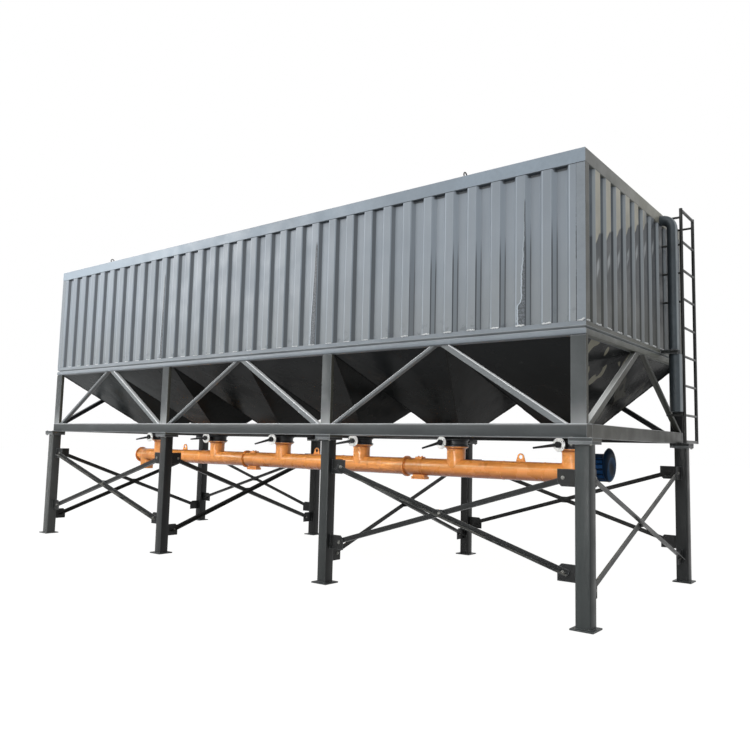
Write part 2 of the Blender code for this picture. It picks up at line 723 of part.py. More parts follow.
def add_hopper(index, material, root):
    """An open pyramid of plate from the bottom rail down to a square neck."""
    outlet = OUTLETS_X[index]
    inner_x = HALF_LENGTH - DIAGONAL_DEPTH - DIAGONAL_RECESS - HOPPER_CLEARANCE
    left = -inner_x if index == 0 else outlet - OUTLET_SPACING / 2 + GAP
    right = inner_x if index == HOPPER_COUNT - 1 else outlet + OUTLET_SPACING / 2 - GAP
    y_half = HALF_WIDTH - DIAGONAL_DEPTH - DIAGONAL_RECESS - HOPPER_CLEARANCE
    neck = OUTLET_SIZE / 2
    top, neck_z = RAIL_BOTTOM_Z - GAP, OUTLET_Z + OUTLET_NECK
    rings = [
        rectangle(left, right, y_half, top),
        rectangle(outlet - neck, outlet + neck, neck, neck_z),
        rectangle(outlet - neck, outlet + neck, neck, OUTLET_Z),
    ]
    wall = HOPPER_PLATE
    inner_neck = neck - wall
    inside = [
        rectangle(outlet - inner_neck, outlet + inner_neck, inner_neck, OUTLET_Z),
        rectangle(outlet - inner_neck, outlet + inner_neck, inner_neck, neck_z),
        rectangle(left + 1.4 * wall, right - 1.4 * wall, y_half - 1.4 * wall, top),
    ]
    part(f"hopper_{index + 1}", [loft_ring(rings + inside)], material, root)


def turned(index, point):
    """The point turned about its outlet's upright axis, as far as that valve is turned."""
    middle = Vector((OUTLETS_X[index], 0, 0))
    turn = Matrix.Rotation(math.radians(VALVE_TURNS_DEG[index]), 3, "Z")
    return middle + turn @ (Vector(point) - middle)


def notched_outline():
    """A disc whose rim has a row of notches on the side the lever sweeps."""
    points = []
    step = math.radians(NOTCH_STEP_DEG)
    first = math.pi - step / 2
    for i in range(NOTCHES):
        start = first + i * step
        for share, depth in ((0.0, 0.0), (0.35, 0.0), (0.45, NOTCH_DEPTH), (0.9, NOTCH_DEPTH)):
            points.append((start + share * step, QUADRANT_RADIUS - depth))
    rest_start = first + NOTCHES * step
    rest_end = first + 2 * math.pi
    for i in range(12):
        points.append((rest_start + (rest_end - rest_start) * i / 12, QUADRANT_RADIUS))
    return [(r * math.cos(a), r * math.sin(a)) for a, r in points]


def add_valve(index, material, root):
    """A butterfly valve's round body with a lip at each face, its stem and the lever's notched plate."""
    x = OUTLETS_X[index]
    half = VALVE_HEIGHT / 2
    waist = VALVE_RADIUS - VALVE_WAIST_STEP
    slope = VALVE_WAIST_STEP / 2
    profile = [
        (VALVE_RADIUS, -half),
        (VALVE_RADIUS, -half + VALVE_LIP),
        (waist, -half + VALVE_LIP + slope),
        (waist, half - VALVE_LIP - slope),
        (VALVE_RADIUS, half - VALVE_LIP),
        (VALVE_RADIUS, half),
    ]
    stem_end = -(VALVE_RADIUS + STEM_REACH)
    solids = [
        lathe(profile, 24, (x, 0, VALVE_Z)),
        rod(STEM_RADIUS, (x, 0, VALVE_Z), turned(index, (x, stem_end, VALVE_Z)), 14),
        plate(
            notched_outline(),
            QUADRANT_THICKNESS,
            lambda u, v, w: turned(index, (x + u, stem_end + w, VALVE_Z + v)),
        ),
    ]
    part(f"valve_{index + 1}", solids, material, root, smooth=True)


def lever_axis_point(index):
    return (OUTLETS_X[index], -(VALVE_RADIUS + STEM_REACH + QUADRANT_THICKNESS / 2 + GAP), VALVE_Z)


def add_lever(index, material, root):
    """A hub on the stem and a flat handle that narrows to its tip, on the joint's axis at the hub."""
    x, y, z = lever_axis_point(index)
    drop = math.radians(LEVER_DROPS_DEG[index])
    direction = Vector((-math.cos(drop), 0, -math.sin(drop)))
    across = Vector((-direction.z, 0, direction.x))
    centre = Vector((x, y - LEVER_HUB_DEPTH / 2, z))
    rings = []
    for reach, width in ((0.0, LEVER_WIDTH), (LEVER_LENGTH, LEVER_TIP_WIDTH)):
        ring = rounded_rectangle(LEVER_THICKNESS, width, LEVER_THICKNESS / 3, 2)
        flat = [centre + direction * reach + Vector((0, p.x, 0)) + across * p.y for p in ring]
        rings.append([turned(index, point) for point in flat])
    face, end = turned(index, (x, y, z)), turned(index, (x, y - LEVER_HUB_DEPTH, z))
    solids = [rod(LEVER_HUB_RADIUS, face, end, 18), loft(rings)]
    part(f"lever_{index + 1}", solids, material, root, smooth=True, origin=tuple(face))


# Screw conveyor and its drive


def spout(x):
    """A round inlet from the tube's middle up to the valve, flared into a lip."""
    flare_radius = SPOUT_LIP_RADIUS - SPOUT_RADIUS
    lip_z = TUBE_DROP - SPOUT_LIP
    flare = []
    for i in range(5):
        angle = math.pi / 2 * i / 4
        reach = SPOUT_LIP_RADIUS - flare_radius * math.sin(angle)
        flare.append((reach, lip_z - SPOUT_FLARE * (1 - math.cos(angle))))
    profile = [(SPOUT_RADIUS, 0.0)] + list(reversed(flare)) + [(SPOUT_LIP_RADIUS, TUBE_DROP)]
    return lathe(profile, 20, (x, 0, TUBE_Z))


def disc(x, thickness, radius=JOINT_RADIUS):
    return lathe([(radius, 0), (radius, thickness)], 24, (x, 0, TUBE_Z), "X")


def lug(x):
    """A lifting plate on the tube's top, narrower above, with its hole cut right through."""
    base = TUBE_Z + TUBE_RADIUS - LUG_EMBED
    top = TUBE_Z + TUBE_RADIUS + LUG_HEIGHT
    foot, head = LUG_WIDTH / 2, LUG_TOP_WIDTH / 2
    shoulder = top - head
    outline = [(foot, base), (head, shoulder)]
    for i in range(1, 6):
        angle = math.pi * i / 6
        outline.append((head * math.cos(angle), shoulder + head * math.sin(angle)))
    outline += [(-head, shoulder), (-foot, base)]
    return plate(outline, LUG_THICKNESS, lambda u, v, w: Vector((x + u, w, v)))


def lug_hole(x):
    z = TUBE_Z + TUBE_RADIUS + LUG_HEIGHT - LUG_TOP_WIDTH / 2
    return rod(LUG_HOLE_RADIUS, (x, -LUG_THICKNESS, z), (x, LUG_THICKNESS, z), 14)


def hatch(x):
    """The bearing's clean-out under the tube, its cover plate and the bolted saddle above it."""
    low = TUBE_Z - TUBE_RADIUS - HATCH_DROP
    half = HATCH_WIDTH / 2
    lip = HATCH_COVER_LIP
    cover = box((x, x + HATCH_LENGTH), (-half, half), (low, low + HATCH_COVER))
    neck = box((x + lip, x + HATCH_LENGTH - lip), (lip - half, half - lip), (low, TUBE_Z - TUBE_RADIUS / 2))
    middle = x + HATCH_LENGTH / 2
    saddle = box(
        (middle - SADDLE_LENGTH / 2, middle + SADDLE_LENGTH / 2),
        (-SADDLE_WIDTH / 2, SADDLE_WIDTH / 2),
        (TUBE_Z + TUBE_RADIUS / 2, TUBE_Z + TUBE_RADIUS + SADDLE_RISE),
    )
    return [neck, cover, saddle]


def add_tube(name, left, right, outlets, extras, lug_x, material, root):
    solids = [rod(TUBE_RADIUS, (left, 0, TUBE_Z), (right, 0, TUBE_Z), 24)]
    solids.append(disc(left, JOINT_THICKNESS))
    solids.append(disc(right - JOINT_THICKNESS, JOINT_THICKNESS))
    solids += [spout(OUTLETS_X[i]) for i in outlets]
    solids += extras + [lug(lug_x)]
    tube = part(name, solids, material, root, smooth=True)
    cut(tube, lug_hole(lug_x))
    return tube


def add_conveyor(root):
    orange = finish("conveyor_paint", (0.76, 0.27, 0.075), 0.4)
    low_z = TUBE_Z - OUTLET_SPOUT_DROP
    first, second = JOINTS_X
    outlet_spout = rod(TUBE_RADIUS, (OUTLET_SPOUT_X, 0, low_z), (OUTLET_SPOUT_X, 0, TUBE_Z), 24)
    left = add_tube(
        "conveyor_tube_left", TUBE_LEFT_X, first - GAP / 2, (0, 1), [outlet_spout], LUGS_X[0], orange, root
    )
    bore_top = TUBE_Z - TUBE_RADIUS - OUTLET_SPOUT_ROOF
    cut(left, rod(OUTLET_SPOUT_BORE, (OUTLET_SPOUT_X, 0, low_z - GAP), (OUTLET_SPOUT_X, 0, bore_top), 24))
    middle_hatch = hatch(first + HATCHES_AFTER_JOINT[0])
    start, end = first + GAP / 2, second - GAP / 2
    add_tube("conveyor_tube_middle", start, end, (2, 3), middle_hatch, LUGS_X[1], orange, root)
    right_hatch = hatch(second + HATCHES_AFTER_JOINT[1])
    start = second + GAP / 2
    add_tube("conveyor_tube_right", start, TUBE_RIGHT_X, (4, 5), right_hatch, LUGS_X[2], orange, root)


def finned_outline(radius):
    """A round body with shallow cooling fins along it."""
    points = []
    fin = ((0.0, 0.0), (0.3, 0.0), (0.4, MOTOR_FIN_HEIGHT), (0.6, MOTOR_FIN_HEIGHT), (0.7, 0.0))
    for i in range(MOTOR_FINS):
        for share, rise in fin:
            angle = 2 * math.pi * (i + share) / MOTOR_FINS
            points.append(Vector((math.cos(angle), math.sin(angle))) * (radius - MOTOR_FIN_HEIGHT + rise))
    return points


def add_drive(root):
    navy = finish("motor_paint", (0.012, 0.032, 0.085), 0.4)
    black = finish("gearbox_paint", (0.02, 0.022, 0.025), 0.5)
    start = TUBE_RIGHT_X + GAP
    end = start + GEARBOX_LENGTH
    half = GEARBOX_WIDTH / 2
    middle_z = TUBE_Z + GEARBOX_HEIGHT * GEARBOX_RISE_SHARE
    outline = rounded_rectangle(GEARBOX_HEIGHT, GEARBOX_WIDTH, half * 0.7, 4)
    housing = bar(outline, (start, 0, middle_z), (end, 0, middle_z), (0, 0, 1))
    part("gearbox", [housing], black, root, smooth=True)
    axis_z = TUBE_Z + MOTOR_RISE
    face = end + GAP
    flange_end = face + MOTOR_FLANGE_THICKNESS
    flange = rounded_rectangle(MOTOR_FLANGE, MOTOR_FLANGE, MOTOR_FLANGE / 4, 3)
    cowl_x = face + MOTOR_LENGTH
    cowl_z = axis_z + COWL_RISE
    terminal_low = axis_z + MOTOR_RADIUS * 0.8
    terminal_high = axis_z + MOTOR_RADIUS + TERMINAL_RISE
    dish = [(COWL_RADIUS - COWL_LIP, 0.0), (COWL_RADIUS, COWL_LIP)]
    dish += [
        (COWL_RADIUS * math.cos(a), COWL_LIP + (COWL_DEPTH - COWL_LIP) * math.sin(a))
        for a in (math.pi / 2 * i / 6 for i in range(1, 4))
    ]
    dish += [(COWL_RADIUS * 0.55, COWL_DEPTH - COWL_DISH * 0.4), (COWL_RADIUS * 0.2, COWL_DEPTH - COWL_DISH)]
    solids = [
        bar(finned_outline(MOTOR_RADIUS), (face, 0, axis_z), (cowl_x + COWL_LIP, 0, axis_z), (0, 0, 1)),
        bar(flange, (face, 0, axis_z), (flange_end, 0, axis_z), (0, 0, 1)),
        box(
            (flange_end + GAP, flange_end + TERMINAL_LENGTH),
            (-TERMINAL_WIDTH / 2, TERMINAL_WIDTH / 2),
            (terminal_low, terminal_high),
        ),
        lathe(dish, 28, (cowl_x, 0, cowl_z), "X"),
    ]
    part("motor", solids, navy, root, smooth=True)


# Fill pipe and ladder


def pipe_path():
    """Points and directions from the top rail out, round the bend and down."""
    z = TOP_RAIL_TOP_Z - PIPE_TOP_DROP
    x = HALF_LENGTH + PIPE_STANDOFF
    points = [(Vector((HALF_LENGTH + GAP, PIPE_Y, z)), Vector((1, 0, 0)))]
    for i in range(9):
        angle = math.pi / 2 * i / 8
        centre = Vector((x - PIPE_BEND, PIPE_Y, z - PIPE_BEND))
        offset = Vector((math.sin(angle), 0, math.cos(angle))) * PIPE_BEND
        points.append((centre + offset, Vector((math.cos(angle), 0, -math.sin(angle)))))
    points.append((Vector((x, PIPE_Y, PIPE_BOTTOM_Z)), Vector((0, 0, -1))))
    return points


def swept_pipe(outer, inner, path):
    """An open pipe: its outer rings down the path and its inner rings back."""
    rings = []
    for radius, stations in ((outer, path), (inner, list(reversed(path)))):
        for point, run in stations:
            across = Vector((0, 1, 0))
            up = run.cross(across)
            rings.append([point + across * p.x + up * p.y for p in circle(radius, 20)])
    return loft_ring(rings)


def add_fill_pipe(root):
    """The pipe, and the clamp that holds it off the bottom rail."""
    grey = finish("pipe_paint", (0.16, 0.18, 0.19), 0.4)
    bracket_z = RAIL_BOTTOM_Z + CLAMP_RISE
    x = HALF_LENGTH + PIPE_STANDOFF
    half = CLAMP_WIDTH / 2
    arm = box(
        (HALF_LENGTH + GAP, x - PIPE_RADIUS + PIPE_WALL / 2),
        (PIPE_Y - PIPE_RADIUS, PIPE_Y - PIPE_RADIUS / 2),
        (bracket_z - half, bracket_z + half),
    )
    rings = [
        [Vector((x + p.x, PIPE_Y + p.y, bracket_z + rise)) for p in circle(radius, 20)]
        for radius, rise in (
            (PIPE_RADIUS + CLAMP_BAND, -half),
            (PIPE_RADIUS + CLAMP_BAND, half),
            (PIPE_RADIUS - PIPE_WALL / 2, half),
            (PIPE_RADIUS - PIPE_WALL / 2, -half),
        )
    ]
    pipe = swept_pipe(PIPE_RADIUS, PIPE_RADIUS - PIPE_WALL, pipe_path())
    part("fill_pipe", [pipe, loft_ring(rings), arm], grey, root, smooth=True)


def add_ladder(root):
    steel = finish("ladder_paint", (0.07, 0.072, 0.072), 0.5)
    x = HALF_LENGTH + LADDER_STANDOFF
    near, far = LADDER_NEAR_Y, LADDER_NEAR_Y + LADDER_WIDTH
    radius = LADDER_RAIL_RADIUS
    solids = [rod(radius, (x, y, LADDER_BOTTOM_Z), (x, y, LADDER_TOP_Z), 12) for y in (near, far)]
    for z in (LADDER_BOTTOM_Z + END_BAR_RADIUS, LADDER_TOP_Z - END_BAR_RADIUS):
        solids.append(rod(END_BAR_RADIUS, (x, near, z), (x, far, z), 12))
    rungs_z = [LOWEST_RUNG_Z + i * RUNG_SPACING for i in range(RUNG_COUNT)]
    for z in rungs_z:
        solids.append(rod(RUNG_RADIUS, (x, near, z), (x, far, z), 10))
    rail_z = TOP_RAIL_BOTTOM_Z + TOP_STANDOFF_RISE
    wall = HALF_LENGTH + GAP
    for y in (near, far):
        solids.append(rod(STANDOFF_RADIUS, (wall, y, rail_z), (x, y, rail_z), 10))
    recess = wall - RIB_DEPTH
    for rung_z in rungs_z[-WALL_STANDOFFS:]:
        z = rung_z - STANDOFF_BELOW_RUNG
        solids.append(rod(STANDOFF_RADIUS, (recess, near, z), (x, near, z), 10))
    solids.append(rod(STANDOFF_RADIUS, (wall, near, LOWEST_RUNG_Z), (x, near, LOWEST_RUNG_Z), 10))
    part("ladder", solids, steel, root, smooth=True)


def centre_on_footprint(root):
    """Moves the whole along X so that the middle of its bounding box is over the origin."""
    bpy.context.view_layer.update()
    graph = bpy.context.evaluated_depsgraph_get()
    corners = []
    for item in PARTS:
        evaluated = item.evaluated_get(graph)
        corners += [evaluated.matrix_world @ Vector(corner) for corner in evaluated.bound_box]
    root.location.x -= (min(c.x for c in corners) + max(c.x for c in corners)) / 2


def build():
    clear_scene()
    root = bpy.data.objects.new("silo", None)
    bpy.context.scene.collection.objects.link(root)
    add_legs_and_braces(root)
    truss_paint = finish("truss_paint", (0.125, 0.132, 0.135), 0.5)
    add_side_truss("front_truss", -1, truss_paint, root)
    add_side_truss("back_truss", 1, truss_paint, root)
    add_end_truss("left_end_truss", -1, truss_paint, root)
    add_end_truss("right_end_truss", 1, truss_paint, root)
    add_cross_beam("cross_beam_left", FRAMES_X[1], truss_paint, root)
    add_cross_beam("cross_beam_right", FRAMES_X[2], truss_paint, root)
    add_box(root)
    hopper_paint = finish("hopper_paint", (0.028, 0.03, 0.03), 0.55)
    valve_paint = finish("valve_paint", (0.02, 0.021, 0.022), 0.45)
    lever_paint = finish("lever_paint", (0.012, 0.012, 0.013), 0.5)
    for index in range(HOPPER_COUNT):
        add_hopper(index, hopper_paint, root)
        add_valve(index, valve_paint, root)
        add_lever(index, lever_paint, root)
    add_conveyor(root)
    add_drive(root)
    add_fill_pipe(root)
    add_ladder(root)
    centre_on_footprint(root)


build()
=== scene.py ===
"""Cement silo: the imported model, dressed with paint, welds, bolts and fine surface for the render."""

import math
import random

import bmesh
import bpy
from mathutils import Matrix, Vector


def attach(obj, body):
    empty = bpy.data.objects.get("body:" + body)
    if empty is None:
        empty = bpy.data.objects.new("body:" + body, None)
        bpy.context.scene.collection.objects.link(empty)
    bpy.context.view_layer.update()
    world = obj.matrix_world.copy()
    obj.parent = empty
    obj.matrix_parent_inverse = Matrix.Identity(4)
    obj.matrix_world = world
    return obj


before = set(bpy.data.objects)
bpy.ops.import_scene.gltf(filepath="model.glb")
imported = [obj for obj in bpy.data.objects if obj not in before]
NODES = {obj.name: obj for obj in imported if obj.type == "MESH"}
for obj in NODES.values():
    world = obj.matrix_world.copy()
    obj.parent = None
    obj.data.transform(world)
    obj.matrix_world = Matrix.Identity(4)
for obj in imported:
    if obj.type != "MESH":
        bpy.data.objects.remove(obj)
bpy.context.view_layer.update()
dice = random.Random(7)

# Places in metres: x runs along the silo to the right, y to the back and z up.
MIDDLE_X = -0.05
FRAMES_X = (-3.53, -1.21, 1.11, 3.43)
POSTS_X = (-3.45, -1.27, 1.073, 3.35)
CORNER_REACH = 3.335
LEG_Y = 1.183
LEG_HALF = (0.055, 0.05, 0.05, 0.055)
OUTLETS_X = (-2.95, -1.79, -0.63, 0.53, 1.69, 2.85)
OUTLET_SPACING = 1.16
WALL_Y = -1.2
END_X = 3.45
END_REACH = END_X - MIDDLE_X
SIDE_OF_END_Y = 1.19
RAIL_TOP_Z = 2.078
RAIL_BOTTOM_Z = 1.981
SEAM_Z = 2.0314
EYE_Z = 3.321
CHORD_TOP_Z = 1.369
CHORD_BOTTOM_Z = 1.267
TUBE_Z = 0.9874
VALVE_Z = 1.2267
TUBE_RADIUS = 0.084
JOINTS_X = (-1.235, 1.12)
MOTOR_Z = 1.0324
PIPE_Y = 0.55
CLAMP_Z = 2.051

# Legs and braces: where their bolts stand.
GUSSET_REACH = 0.145
BRACE_INSET = 0.042
LONG_BRACE_LEVELS = (0.995, 0.355)
CROSS_BRACE_LEVELS = (0.995, 0.235)
BRACE_CROSSING_Z = 0.675
ON_BRACE = 0.0093
ON_GUSSET = 0.004
ON_CROSSING = 0.0095
FLANGE_BOLT = 0.068
FLANGE_TOP_Z = 1.2672
FLANGE_BOTTOM_Z = 1.2255
BRACE_BOLT_SIZE = 0.011
FLANGE_BOLT_SIZE = 0.009

# Conveyor: its flanges, spouts, hatches and round welds.
TUBE_FLANGE_FACE = 0.0102
TUBE_BOLT_CIRCLE = 0.0933
TUBE_BOLT_SIZE = 0.005
SPOUT_RADIUS = 0.0885
SPOUT_WELD = 0.0035
SPOUT_STEPS = 48
TUBE_WELDS_X = (-2.05, -0.21, 0.28, 1.33, 2.2, 2.6)
TUBE_WELD = 0.0028
HATCHES_X = (JOINTS_X[0] + 0.124, JOINTS_X[1] + 0.158)
HATCH_TOP_BOLT_X = 0.02
HATCH_TOP_Z = TUBE_Z + TUBE_RADIUS + 0.012
HATCH_TOP_BOLT_SIZE = 0.009
HATCH_SIDE_BOLT_X = 0.05
HATCH_SIDE_Y = -0.04
HATCH_SIDE_Z = TUBE_Z - TUBE_RADIUS - 0.025
HATCH_SIDE_BOLT_SIZE = 0.007

# Hoppers: neck and top, half of each width, and how far the outer ones reach.
NECK_HALF = 0.1
NECK_Z = 1.307
HOPPER_HALF_X = 0.5797
HOPPER_HALF_Y = 1.1435
HOPPER_TOP_Z = 1.979
HOPPERS_LEFT_X = -3.4935
HOPPERS_RIGHT_X = 3.3935
HOPPER_WELD = 0.0045

# Sealant: the sheets' crests and the right corner.
FRONT_CRESTS = 32
FIRST_THICK_CREST = 25
THIN_BEAD = 0.0028
THICK_BEAD = 0.0055
END_SHEET_HALF = 1.13
CORNER_BEAD = 0.005
CORNER_BEAD_POINTS = 9
CORNER_BEAD_X = 3.388
CORNER_BEAD_Y = -1.195

# Sleeve of the fill pipe: x of its middle, radius, bottom and top; and both ends of the channel.
SLEEVE = (3.5602, 0.0543, 1.534, 2.03)
CHANNEL_ENDS_X = (3.4506, 3.5945)

# Camera, as fitted to the photograph.
CAMERA_PLACE = (5.3125, -5.9342, 1.1894)
CAMERA_YAW = -0.6624
CAMERA_PITCH = 0.097
CAMERA_ROLL = 0.0232
CAMERA_LENS = 34.494

# Name, place, target, power, width, height and spread of each lamp.
LAMPS = (
    ("key", (-9, -10, 8), (0, -1, 2), 390, 4, 4, 180),
    ("sky", (5, -7, 10), (0.5, -1, 2), 200, 4, 4, 180),
    ("left", (-6.5, -6, 4.5), (-3, -1.2, 2.4), 185, 2.5, 2.5, 180),
    ("strip", (1, -10, 4.9), (1, 0, 1.0), 220, 11, 1.4, 180),
    ("low", (-1, -9, 0.9), (-1, 0, 1.0), 15, 10, 1, 18),
)
FLOOR_REACH = 60
FLOOR_COLOUR = (0.6, 0.6, 0.595, 1)
FLOOR_GLOW = 1.13
FLOOR_GLOW_COLOUR = (1, 1, 0.995, 1)
FLOOR_GLOW_SHARE = 0.86
SKY_LIGHT = 0.5
SKY_SEEN = 1.0

# First ridge, pitch, width of a crest and width of a rib's slope.
FRONT_SHEET = (-3.2955, 0.207, 0.074, 0.03)
END_SHEET = (-1.015, 0.2145, 0.0995, 0.03)

# Right edge of the crest, then (low, high, width below, width above) steps, then the wave.
JOINTS = (
    (-1.3585, ((2.1, 3.0, 0.034, 0.012),), 0.02),
    (0.9185, ((2.1, 3.0, 0.052, 0.018),), 0.022),
    (2.9885, ((2.22, 2.27, 0.03, 0.0), (2.3, 2.8, 0.018, 0.002)), 0.05),
)


# Materials


class Nodes:
    """A material's node tree, built by short calls."""

    def __init__(self, name):
        self.material = bpy.data.materials.new(name)
        self.material.use_nodes = True
        self.tree = self.material.node_tree
        self.shader = self.tree.nodes["Principled BSDF"]
        self.position = self.add("ShaderNodeTexCoord").outputs["Object"]
        self.x, self.y, self.z = self.split(self.position)
        self.facing = self.add("ShaderNodeNewGeometry").outputs["Normal"]
        self.facing_x, self.facing_y, self.facing_z = self.split(self.facing)

    def add(self, kind):
        return self.tree.nodes.new(kind)

    def link(self, output, socket):
        self.tree.links.new(output, socket)

    def split(self, vector):
        node = self.add("ShaderNodeSeparateXYZ")
        self.link(vector, node.inputs[0])
        return tuple(node.outputs)

    def put(self, value, socket):
        if isinstance(value, bpy.types.NodeSocket):
            self.link(value, socket)
        else:
            socket.default_value = value

    def math(self, operation, *values):
        node = self.add("ShaderNodeMath")
        node.operation = operation
        for value, socket in zip(values, node.inputs):
            self.put(value, socket)
        return node.outputs[0]

    def size(self, value):
        return self.math("ABSOLUTE", value)

    def times(self, first, second):
        return self.math("MULTIPLY", first, second)

    def plus(self, first, second):
        return self.math("ADD", first, second)

    def minus(self, first, second):
        return self.math("SUBTRACT", first, second)

    def distance(self, first, second):
        """How far two values are apart, whichever is larger."""
        return self.size(self.minus(first, second))

    def radius(self, first, second):
        """How far off an axis a place is, from its two offsets."""
        return self.math("SQRT", self.plus(self.times(first, first), self.times(second, second)))

    def ramp(self, value, low, high, start=0.0, end=1.0):
        """start at low, end at high, smooth between."""
        node = self.add("ShaderNodeMapRange")
        node.interpolation_type = "SMOOTHSTEP"
        for item, socket in zip((value, low, high, start, end), node.inputs):
            self.put(item, socket)
        return node.outputs[0]

    def stretched(self, scale):
        node = self.add("ShaderNodeVectorMath")
        node.operation = "MULTIPLY"
        self.link(self.position, node.inputs[0])
        node.inputs[1].default_value = scale
        return node.outputs[0]

    def noise(self, scale, detail=3.0, roughness=0.55, stretch=None, distortion=0.0):
        node = self.add("ShaderNodeTexNoise")
        self.link(self.position if stretch is None else self.stretched(stretch), node.inputs["Vector"])
        node.inputs["Scale"].default_value = scale
        node.inputs["Detail"].default_value = detail
        node.inputs["Roughness"].default_value = roughness
        node.inputs["Distortion"].default_value = distortion
        return node.outputs["Fac"]

    def mix(self, share, first, second):
        """The first colour, with a share of the second in its place."""
        node = self.add("ShaderNodeMix")
        node.data_type = "RGBA"
        self.put(share, node.inputs["Factor"])
        self.put(first, node.inputs["A"])
        self.put(second, node.inputs["B"])
        return node.outputs["Result"]

    def bump(self, height, strength, distance):
        node = self.add("ShaderNodeBump")
        node.inputs["Strength"].default_value = strength
        node.inputs["Distance"].default_value = distance
        self.link(height, node.inputs["Height"])
        self.link(node.outputs[0], self.shader.inputs["Normal"])

    def orange_peel(self):
        self.bump(self.noise(160, 2, 0.5), 0.12, 0.0006)

    def finish(self, colour, roughness, metallic=0.0, specular=0.5):
        self.put(colour, self.shader.inputs["Base Color"])
        self.put(roughness, self.shader.inputs["Roughness"])
        self.shader.inputs["Metallic"].default_value = metallic
        self.shader.inputs["Specular IOR Level"].default_value = specular
        return self.material


def srgb(red, green, blue):
    """The linear colour of an 8-bit one."""
    linear = []
    for value in (red, green, blue):
        share = value / 255
        linear.append(share / 12.92 if share <= 0.04045 else ((share + 0.055) / 1.055) ** 2.4)
    return (*linear, 1.0)


def shade(colour, factor):
    return (*(channel * factor for channel in colour[:3]), 1.0)


PURE_BLACK = (0, 0, 0, 1)
# Light grey for edge wear and for painted light: lines, stretches and edges painted lighter as if lit.
WORN_AND_LIT = srgb(176, 181, 184)
# Facing-up range that takes in rounded upper edges too: with a near-white colour, a painted highlight along a
# bar's upper edge.
SLOPES_TOO = (0.15, 0.5)


def sprayed(n, colour, mottle):
    """Cloudy sprayed colour with a darker grain, and where that grain is."""
    cloud = n.ramp(n.noise(2.3, 5), 0.3, 0.7)
    tone = n.mix(cloud, shade(colour, 1 - mottle), shade(colour, 1 + mottle))
    fine = n.ramp(n.noise(34, 4, 0.7), 0.35, 0.7)
    return n.mix(n.times(fine, 0.22), tone, shade(colour, 0.72)), fine


